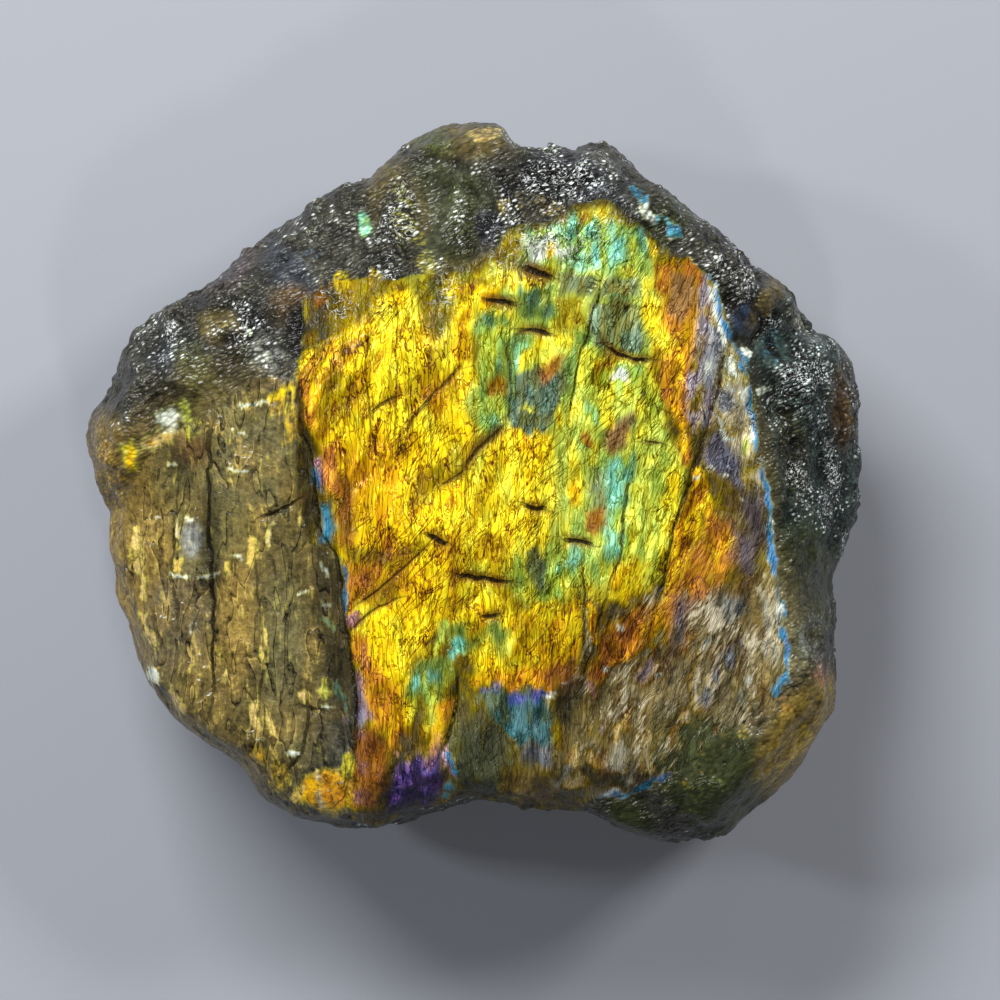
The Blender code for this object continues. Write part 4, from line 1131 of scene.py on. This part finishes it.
def reliefTree(material):
    # raises lumps on the broken rim, wrinkles on the face and thin plates on its left
    tree = bpy.data.node_groups.new("stoneRelief", "GeometryNodeTree")
    tree.interface.new_socket("Stone", in_out="INPUT", socket_type="NodeSocketGeometry")
    for name, height in stone["relief"].items():
        socket = tree.interface.new_socket(name, in_out="INPUT", socket_type="NodeSocketFloat")
        socket.default_value = height
    tree.interface.new_socket("Stone", in_out="OUTPUT", socket_type="NodeSocketGeometry")
    start = Wire(tree)
    source = tree.nodes.new("NodeGroupInput")
    given = {s.name: Wire(tree, s) for s in source.outputs}

    def field(name):
        settings = {"data_type": "FLOAT"}
        return start.node("GeometryNodeInputNamedAttribute", settings, {"Name": name}, "Attribute")

    place = start.node("GeometryNodeInputPosition").vector("SCALE", scale=1.0 / mm)
    height = place.node("ShaderNodeSeparateXYZ", {}, {"Vector": place}, "Z")
    shift = start.node("ShaderNodeCombineXYZ", {}, {axis: given["Seed"] for axis in "XYZ"})
    seeded = place.vector("ADD", shift)
    normal = start.node("GeometryNodeInputNormal")
    normalUp = start.node("ShaderNodeSeparateXYZ", {}, {"Vector": normal}, "Z")
    face, plates = field("face"), field("plates")
    onFace = face.rise(-0.1, 0.7)
    onPlates = plates.rise(-0.1, 0.6) * (1.0 - onFace)
    onRim = (1.0 - onFace) * (1.0 - onPlates)
    above = height.rise(0.5, 2.2)

    lumps = seeded.stretched(2.7, 2.7, 2.7).grain(2.0, 0.5)
    bent = seeded.vector("ADD", seeded.stretched(1.6, 1.6, 1.6).drift(2.0).vector("SCALE", scale=0.22))
    granules = 0.45 - bent.stretched(1.3, 1.3, 1.3).cells("SMOOTH_F1", soft=0.3)
    crumbs = 0.45 - bent.stretched(0.66, 0.66, 0.66).cells("SMOOTH_F1", seed=1.0, soft=0.25)
    patchy = seeded.stretched(3.4, 3.4, 3.4).grain(1.0, seed=5.0).rise(-0.5, 0.6)
    rim = given["Lump"] * lumps + given["Granule"] * granules * (patchy * 1.4 + 0.5)
    rim = (rim + given["Crumb"] * crumbs * (patchy + 0.5)) * (field("glintAndGrit").rise(0.0, 0.8) * 0.75 + 0.25)

    swell = seeded.stretched(2.4, 5.0, 3.0).grain(1.0, seed=3.0)
    ridge = 1.0 - abs(bent.stretched(1.0, 3.2, 2.0).grain(2.0, 0.5, 0.3, seed=4.0)) * 1.4
    slant = 1.0 - abs(bent.stretched(0.9, 4.0, 2.0, 38.0).grain(1.0, seed=6.0)) * 1.4
    smoothFace = given["Swell"] * swell - given["Wrinkle"] * (ridge.most(-0.6) + slant.most(-0.4) * 0.7)

    leaf = bent.stretched(1.3, 8.0, 4.0).grain(2.0, 0.6, 0.3, seed=7.0)
    scales = 0.45 - bent.stretched(0.75, 2.4, 2.0).cells("SMOOTH_F1", seed=8.0, soft=0.2)
    leaves = given["Lamella"] * (leaf + lumps * 0.3 + scales * 0.6)

    crackFloor = abs(field("crack")).rise(2.2, 0.2) * field("crackShown")
    splitFloor = abs(field("split")).rise(2.2, 0.2) * field("splitShown")
    groove = given["Groove"] * crackFloor.most(splitFloor)
    shape = rim * onRim + smoothFace * onFace + leaves * onPlates
    shape = shape * above * (normalUp.rise(-0.5, 0.5) * 0.75 + 0.25) - groove
    moved = start.node(
        "GeometryNodeSetPosition",
        {},
        {"Geometry": given["Stone"], "Offset": normal.vector("SCALE", scale=shape * mm)},
    )
    kept = start.node(
        "GeometryNodeStoreNamedAttribute",
        {"data_type": "FLOAT", "domain": "POINT"},
        {"Geometry": moved, "Name": "bulk", "Value": rim},
    )
    whole = start.node("GeometryNodeRealizeInstances", {}, {"Geometry": kept})
    dressed = start.node("GeometryNodeSetMaterial", {}, {"Geometry": whole, "Material": material})
    end = tree.nodes.new("NodeGroupOutput")
    tree.links.new(dressed.socket, end.inputs[0])
    return tree


def settleBase(piece):
    # the resting face stays flat and nothing reaches below it
    mesh = piece.data
    places = np.empty(len(mesh.vertices) * 3, np.float32)
    mesh.vertices.foreach_get("co", places)
    points = places.reshape(-1, 3)
    points[:, 2] = np.where(points[:, 2] < stone["flatBelow"] * mm, 0.0, points[:, 2])
    mesh.vertices.foreach_set("co", points.reshape(-1))
    mesh.update()


def stonePlaces(tree):
    # the coordinates, painted fields and regions that every part of the finish reads
    start = Wire(tree)
    place = start.node("ShaderNodeTexCoord", {}, {}, "Object").vector("SCALE", scale=1.0 / mm)
    parts = start.node("ShaderNodeSeparateXYZ", {}, {"Vector": place}, "X")
    px, py, pz = (Wire(tree, s) for s in parts.socket.node.outputs)
    # the grain is upright on the left and leans over on the right
    shear = px.rise(-2.0, 16.0) * math.tan(math.radians(stone["grainLean"]))
    upright = start.node("ShaderNodeCombineXYZ", {}, {"X": px - py * shear, "Y": py, "Z": pz})
    sway = start.painted("sway", "Vector")
    lumps = place.vector("ADD", sway.vector("SCALE", scale=0.2))
    fine = lumps.stretched(0.42, 0.42, 0.42).grain(2.0, 0.65, seed=12.0)
    edge = fine * 0.13
    gaps = (edge * 4.0 + 0.9).clamped()
    halo = abs(start.painted("split")).rise(3.6, 0.6) * start.painted("splitShown")
    crack = (abs(start.painted("crack")) + edge * 2.5).rise(0.9, 0.3)
    crack = crack * start.painted("crackShown") * gaps
    split = (abs(start.painted("split")) + edge * 2.0).rise(0.9, 0.35) * start.painted("splitShown")
    onFace = (start.painted("face") + edge).rise(-0.06, 0.1)
    return {
        "start": start,
        "lumps": lumps,
        "grain": upright.vector("ADD", sway.vector("MULTIPLY", (0.16, 0.2, 0.1))),
        "fine": fine,
        "cracked": crack.most(split).clamped(),
        "halo": halo * onFace,
        "onFace": onFace,
        "onPlates": (start.painted("plates") + edge).rise(-0.08, 0.12),
    }


def finished(at, colour, height, roughness, shine, metallic=0.0):
    # shade, cracks and fine relief are the same wherever they lie
    shade = at["start"].painted("shade") * (at["fine"] * 0.25 + 1.0)
    colour = colour.blend((*stone["shadeDark"], 1.0), shade.clamped())
    colour = colour.blend((*stone["rust"], 1.0), at["halo"] * 0.75)
    colour = colour.blend((*stone["crackAndShadeDark"], 1.0), at["cracked"] * 0.94)
    height = height - at["cracked"] * 0.12
    normal = height.node("ShaderNodeBump", {}, {"Distance": mm, "Height": height}, "Normal")
    values = {"Base Color": colour, "Roughness": roughness, "Normal": normal, "Metallic": metallic}
    values.update({"IOR": 1.4, "Specular IOR Level": shine})
    return normal.node("ShaderNodeBsdfPrincipled", {}, values, "BSDF")


def rimFinish(at):
    # the broken rim: dark wet grains with painted glints, and painted shade in the hollows and pits between
    # them
    start, lumps = at["start"], at["lumps"]
    bulk, glintAndGrit = start.painted("bulk"), start.painted("glintAndGrit")
    coarse = start.painted("coarse")
    grains = lumps.stretched(0.44, 0.22, 0.3, -24.0).cells(seed=15.0)
    chance = start.node("ShaderNodeSeparateXYZ", {}, {"Vector": grains.other("Color")}, "X")
    rough = grains + at["fine"] * 0.24
    # painted shade: darker where the relief is low between the lumps
    hollowShade = 1.0 - bulk.rise(0.18, -0.22) * (glintAndGrit * 0.6 + 0.1)
    tone = (coarse * 0.3 + at["fine"] * 0.45 + chance * 0.7 + 0.6).most(0.06) * hollowShade
    body = start.painted("body", "Color").vector("SCALE", scale=tone)
    flash = start.painted("flash")
    glow = start.painted("glow", "Color").vector("SCALE", scale=(tone * 0.8 + flash * 0.4).least(1.0))
    share = (flash + coarse * 0.2 + at["fine"] * 0.2 - rough * 0.4).rise(-0.05, 0.8)
    colour = body.blend(glow, share)
    # painted shade in the pits between the grains
    pitShade = rough.rise(0.36, 0.7) * (glintAndGrit * 0.8 + 0.1)
    colour = colour.blend((*stone["shadeDark"], 1.0), pitShade.clamped())
    # painted glints: pale specks and arcs on the grains
    lit = (chance + coarse * 0.6 + glintAndGrit * 0.8).rise(1.25, 1.75)
    glintArcs = abs(lumps.stretched(0.55, 0.4, 0.45, -26.0).grain(1.0, 0.5, 0.9, seed=22.0)).rise(0.14, 0.0)
    glintArcs = glintArcs * (coarse * 0.5 + at["fine"] * 0.45 + glintAndGrit * 0.9).rise(0.8, 1.3)
    paintedGlints = (rough.rise(0.42, 0.2) * lit).most(glintArcs) * glintAndGrit.rise(0.1, 0.5)
    colour = colour.blend((*stone["glintWhite"], 1.0), paintedGlints.clamped())
    height = coarse * 0.14 - grains * (glintAndGrit * 0.14 + 0.03)
    return finished(at, colour, height, 0.2, 0.32)


def faceFinish(at):
    # the split face: crumpled foil of colour over a dark body, with painted shading of its dips and folds
    # and painted wet highlights
    start, grain, lumps = at["start"], at["grain"], at["lumps"]
    streak = grain.stretched(0.2, 2.0, 1.2).grain(2.0, 0.6, seed=1.0)
    strand = lumps.stretched(0.19, 1.1, 0.8, 33.0).grain(2.0, 0.65, 0.5, seed=7.0)
    streak = streak.towards(strand, start.painted("slanted"))
    dips, bands, flash = start.painted("dips"), start.painted("bands"), start.painted("flash")
    marble = grain.stretched(0.46, 1.4, 0.9).grain(2.0, 0.62, 0.9, seed=4.0)
    vein = abs(marble).rise(0.22, 0.0)
    thread = abs(grain.stretched(0.5, 3.8, 1.2).grain(2.0, 0.6, 0.4, seed=5.0)).rise(0.13, 0.0)
    fold = abs(lumps.stretched(0.6, 3.0, 1.2, 38.0).grain(2.0, 0.55, 0.5, seed=6.0)).rise(0.15, 0.0)
    fold = fold * start.painted("folded")
    coarse = start.painted("coarse")
    # the folds darken the colour and the dips lighten and darken it, as painted shading of the relief that
    # the bump below also raises
    dark = vein * (coarse * 0.36 + 0.40).most(0.1) + thread * 0.36 + fold * 0.34 + bands * 0.32
    tone = dips * 0.18 + streak * (start.painted("slanted") * 0.26 + 0.12) + marble * 0.10 + 1.0
    tone = (tone - dark * (flash * 0.6 + 0.4)).most(0.08).least(1.12)
    warm = 1.0 - tone * 0.95 + dips * 0.12
    glow = start.painted("glow", "Color").blend(start.painted("glowWarm", "Color"), warm.clamped())
    glow = glow.node("ShaderNodeGamma", {}, {"Color": glow, "Gamma": 1.75 - tone * 0.75})
    level = (flash + dips * 0.04 + streak * 0.06).clamped()
    strength = level * (level * 0.45 + 0.55)
    glow = glow.vector("SCALE", scale=(tone * (tone * 0.5 + 0.5) + 0.04) * strength)
    gilt = (dips * 0.6 - coarse * 0.6).rise(-0.2, 0.8) * start.painted("slanted") * 0.6
    body = start.painted("body", "Color").blend((*stone["wax"], 1.0), gilt)
    body = body.vector("SCALE", scale=tone * tone * 1.2)
    colour = body.blend(glow, level.rise(0.02, 0.3))
    sheen = (strand * 0.7 + dips * 0.6 + coarse * 0.5).rise(0.2, 0.9) * start.painted("slanted")
    colour = colour.blend((*stone["silver"], 1.0), sheen.clamped() * level.rise(0.6, 0.2))
    # painted highlights: pale loops where the face is wet, with a band of painted shade beside them
    loops = abs(lumps.stretched(0.62, 0.5, 0.5).grain(1.0, 0.5, 0.8, seed=21.0))
    wetGlints = start.painted("wetGlints") * (at["fine"] * 0.5 + coarse * 0.6).rise(-0.5, 0.7)
    ringShade = loops.rise(0.12, 0.3) * loops.rise(0.6, 0.35)
    colour = colour.blend((*stone["crackAndShadeDark"], 1.0), ringShade * wetGlints * 0.7)
    colour = colour.blend((*stone["glintWhite"], 1.0), loops.rise(0.15, 0.0) * wetGlints * 0.75)
    height = dips * 0.14 + marble * 0.035 - vein * 0.03 - thread * 0.05 - fold * 0.07 - bands * 0.06
    return finished(at, colour, height, at["fine"] * 0.04 + 0.24, 0.2, level * 0.12)


def plateFinish(at):
    # the lower plates on the left: thin waxy scales under a wet skin, with painted shading across each
    # scale, a painted shadow just past its edge, painted gold highlights along the edges and painted glints
    start, grain, lumps = at["start"], at["grain"], at["lumps"]
    streak = grain.stretched(0.3, 1.3, 0.9).grain(2.0, 0.6, 0.3, seed=14.0)
    leaf = grain.stretched(1.5, 5.0, 2.6).grain(2.0, 0.5, 0.5, seed=8.0)
    scale = (leaf * 1.2 + at["fine"] * 0.04 + 9.0).math("FRACT")
    slab = lumps.stretched(1.6, 2.4, 2.0, -34.0).grain(1.0, 0.5, 0.4, seed=9.0)
    wetGlints = lumps.stretched(0.75, 0.17, 0.4, -18.0).grain(1.0, 0.6, 0.2, seed=18.0)
    dips, coarse = start.painted("dips"), start.painted("coarse")
    # painted shading of the overlapping scales: each is shaded across from one edge to the other and
    # darkened just past its edge, and a painted gold highlight runs along the edge
    step = scale.rise(0.2, 0.0)
    litLip = scale.rise(0.8, 0.97) * (coarse * 0.6 + dips * 0.5 + at["fine"] * 0.5).rise(-0.2, 0.9)
    tone = streak * 0.24 + at["fine"] * 0.45 + scale * 0.4 + slab * 0.2 + dips * 0.14 + 0.64
    tone = (tone - step * 0.3).most(0.06)
    waxy = (coarse * 0.6 + dips * 0.4 + leaf * 0.3).rise(-0.3, 1.0)
    body = start.painted("body", "Color").blend((*stone["wax"], 1.0), waxy * 0.6)
    share = (start.painted("flash") + streak * 0.3 + at["fine"] * 0.15).rise(0.2, 1.1)
    glow = start.painted("glow", "Color").vector("SCALE", scale=(tone * 0.7 + 0.25).least(1.0))
    colour = body.vector("SCALE", scale=tone).blend(glow, share)
    glitter = (at["fine"] * 0.5 + streak * 0.9 + coarse * 0.4).rise(0.6, 1.5) * 0.8
    colour = colour.blend((*stone["highlightGold"], 1.0), (litLip * 0.6).most(glitter).clamped())
    # painted glints of a wet skin
    glint = (wetGlints * 0.8 + at["fine"] * 0.2 + coarse * 0.5).rise(0.9, 1.25)
    colour = colour.blend((*stone["glintWhite"], 1.0), glint * 0.8)
    height = streak * 0.04 + at["fine"] * 0.03 + leaf * 0.05 - step * 0.06
    return finished(at, colour, height, 0.3, 0.22)


def labradoriteMaterial():
    # the three finishes, each where its part of the stone lies
    material = bpy.data.materials.new("labradorite")
    material.use_nodes = True
    tree = material.node_tree
    tree.nodes.clear()
    at = stonePlaces(tree)
    rim, face, plates = rimFinish(at), faceFinish(at), plateFinish(at)
    values = {"Fac": at["onPlates"], "Shader": rim, "Shader_001": plates}
    outer = rim.node("ShaderNodeMixShader", {}, values, "Shader")
    values = {"Fac": at["onFace"], "Shader": outer, "Shader_001": face}
    whole = outer.node("ShaderNodeMixShader", {}, values, "Shader")
    output = tree.nodes.new("ShaderNodeOutputMaterial")
    tree.links.new(whole.socket, output.inputs["Surface"])
    return material


def makeStone():
    print("making the fine mesh")
    piece = fineCopy(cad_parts[stoneName])
    print("painting", len(piece.data.vertices), "points")
    storeFields(piece)
    print("raising the relief")
    material = labradoriteMaterial()
    tree = reliefTree(material)
    modifier = piece.modifiers.new("relief", "NODES")
    modifier.node_group = tree
    for item in tree.interface.items_tree:
        if item.in_out == "INPUT" and item.name in stone["relief"]:
            modifier[item.identifier] = stone["relief"][item.name]
    applyModifiers(piece)
    settleBase(piece)
    piece.data.shade_smooth()
    piece.name = "labradorite_stone"
    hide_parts(stoneName)
    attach(piece, "root")
    print("stone:", len(piece.data.polygons), "faces")
    return piece


studio = {
    "floor": (0.34, 0.36, 0.41),
    "floorSize": 3.0,  # from its middle to its edge, m
    "floorRoughness": 0.7,
    "world": (0.80, 0.86, 1.0),
    "worldStrength": 0.055,
    "viewDistance": 500.0,  # from the floor to the camera, mm
    "viewWidth": 66.6,  # what the camera takes in at the height of the bright face, mm
    "faceHeight": 20.6,
    "viewMiddle": (1.82, -1.32),  # the point that the camera is over, mm
    "sensor": 36.0,  # mm
    "nearest": 0.01,  # what is closer to the camera isn't drawn, m
    # lights: direction as heading and height in degrees, distance mm, size mm, watts, colour
    "lights": {
        "window": (118, 45, 420, (240, 90), 2.0, (1.0, 0.99, 0.97)),
        "lamp": (35, 42, 400, (80, 50), 0.62, (1.0, 0.98, 0.95)),
        "lampLeft": (168, 44, 400, (40, 40), 0.30, (0.96, 0.98, 1.0)),
        "lampFront": (-75, 52, 400, (40, 40), 0.22, (1.0, 0.98, 0.95)),
    },
}


def makeFloor():
    mesh = bpy.data.meshes.new("floor")
    shape = bmesh.new()
    bmesh.ops.create_grid(shape, x_segments=1, y_segments=1, size=studio["floorSize"])
    shape.to_mesh(mesh)
    shape.free()
    floor = bpy.data.objects.new("floor", mesh)
    bpy.context.scene.collection.objects.link(floor)
    material = bpy.data.materials.new("paleFloor")
    material.use_nodes = True
    paint = material.node_tree.nodes["Principled BSDF"]
    paint.inputs["Base Color"].default_value = (*studio["floor"], 1.0)
    paint.inputs["Roughness"].default_value = studio["floorRoughness"]
    mesh.materials.append(material)


def makeLights():
    world = bpy.data.worlds.new("studio")
    bpy.context.scene.world = world
    world.use_nodes = True
    back = world.node_tree.nodes["Background"]
    back.inputs["Color"].default_value = (*studio["world"], 1.0)
    back.inputs["Strength"].default_value = studio["worldStrength"]
    for name, (heading, height, distance, size, power, colour) in studio["lights"].items():
        lamp = bpy.data.lights.new(name, "AREA")
        lamp.shape = "RECTANGLE"
        lamp.size, lamp.size_y = size[0] * mm, size[1] * mm
        lamp.energy = power
        lamp.color = colour
        turn, lift = math.radians(heading), math.radians(height)
        away = Vector((math.cos(turn) * math.cos(lift), math.sin(turn) * math.cos(lift), math.sin(lift)))
        light = bpy.data.objects.new(name, lamp)
        light.location = away * distance * mm
        light.rotation_euler = (-away).to_track_quat("-Z", "Y").to_euler()
        bpy.context.scene.collection.objects.link(light)


def makeCamera():
    lens = bpy.data.cameras.new("camera")
    lens.sensor_width = studio["sensor"]
    toFace = studio["viewDistance"] - studio["faceHeight"]
    lens.lens = lens.sensor_width * toFace / studio["viewWidth"]
    lens.clip_start = studio["nearest"]
    camera = bpy.data.objects.new("camera", lens)
    x, y = studio["viewMiddle"]
    camera.location = (x * mm, y * mm, studio["viewDistance"] * mm)
    bpy.context.scene.collection.objects.link(camera)
    bpy.context.scene.camera = camera
    bpy.context.scene.view_settings.view_transform = "Standard"


makeStone()
makeFloor()
makeLights()
makeCamera()
print("studio ready")
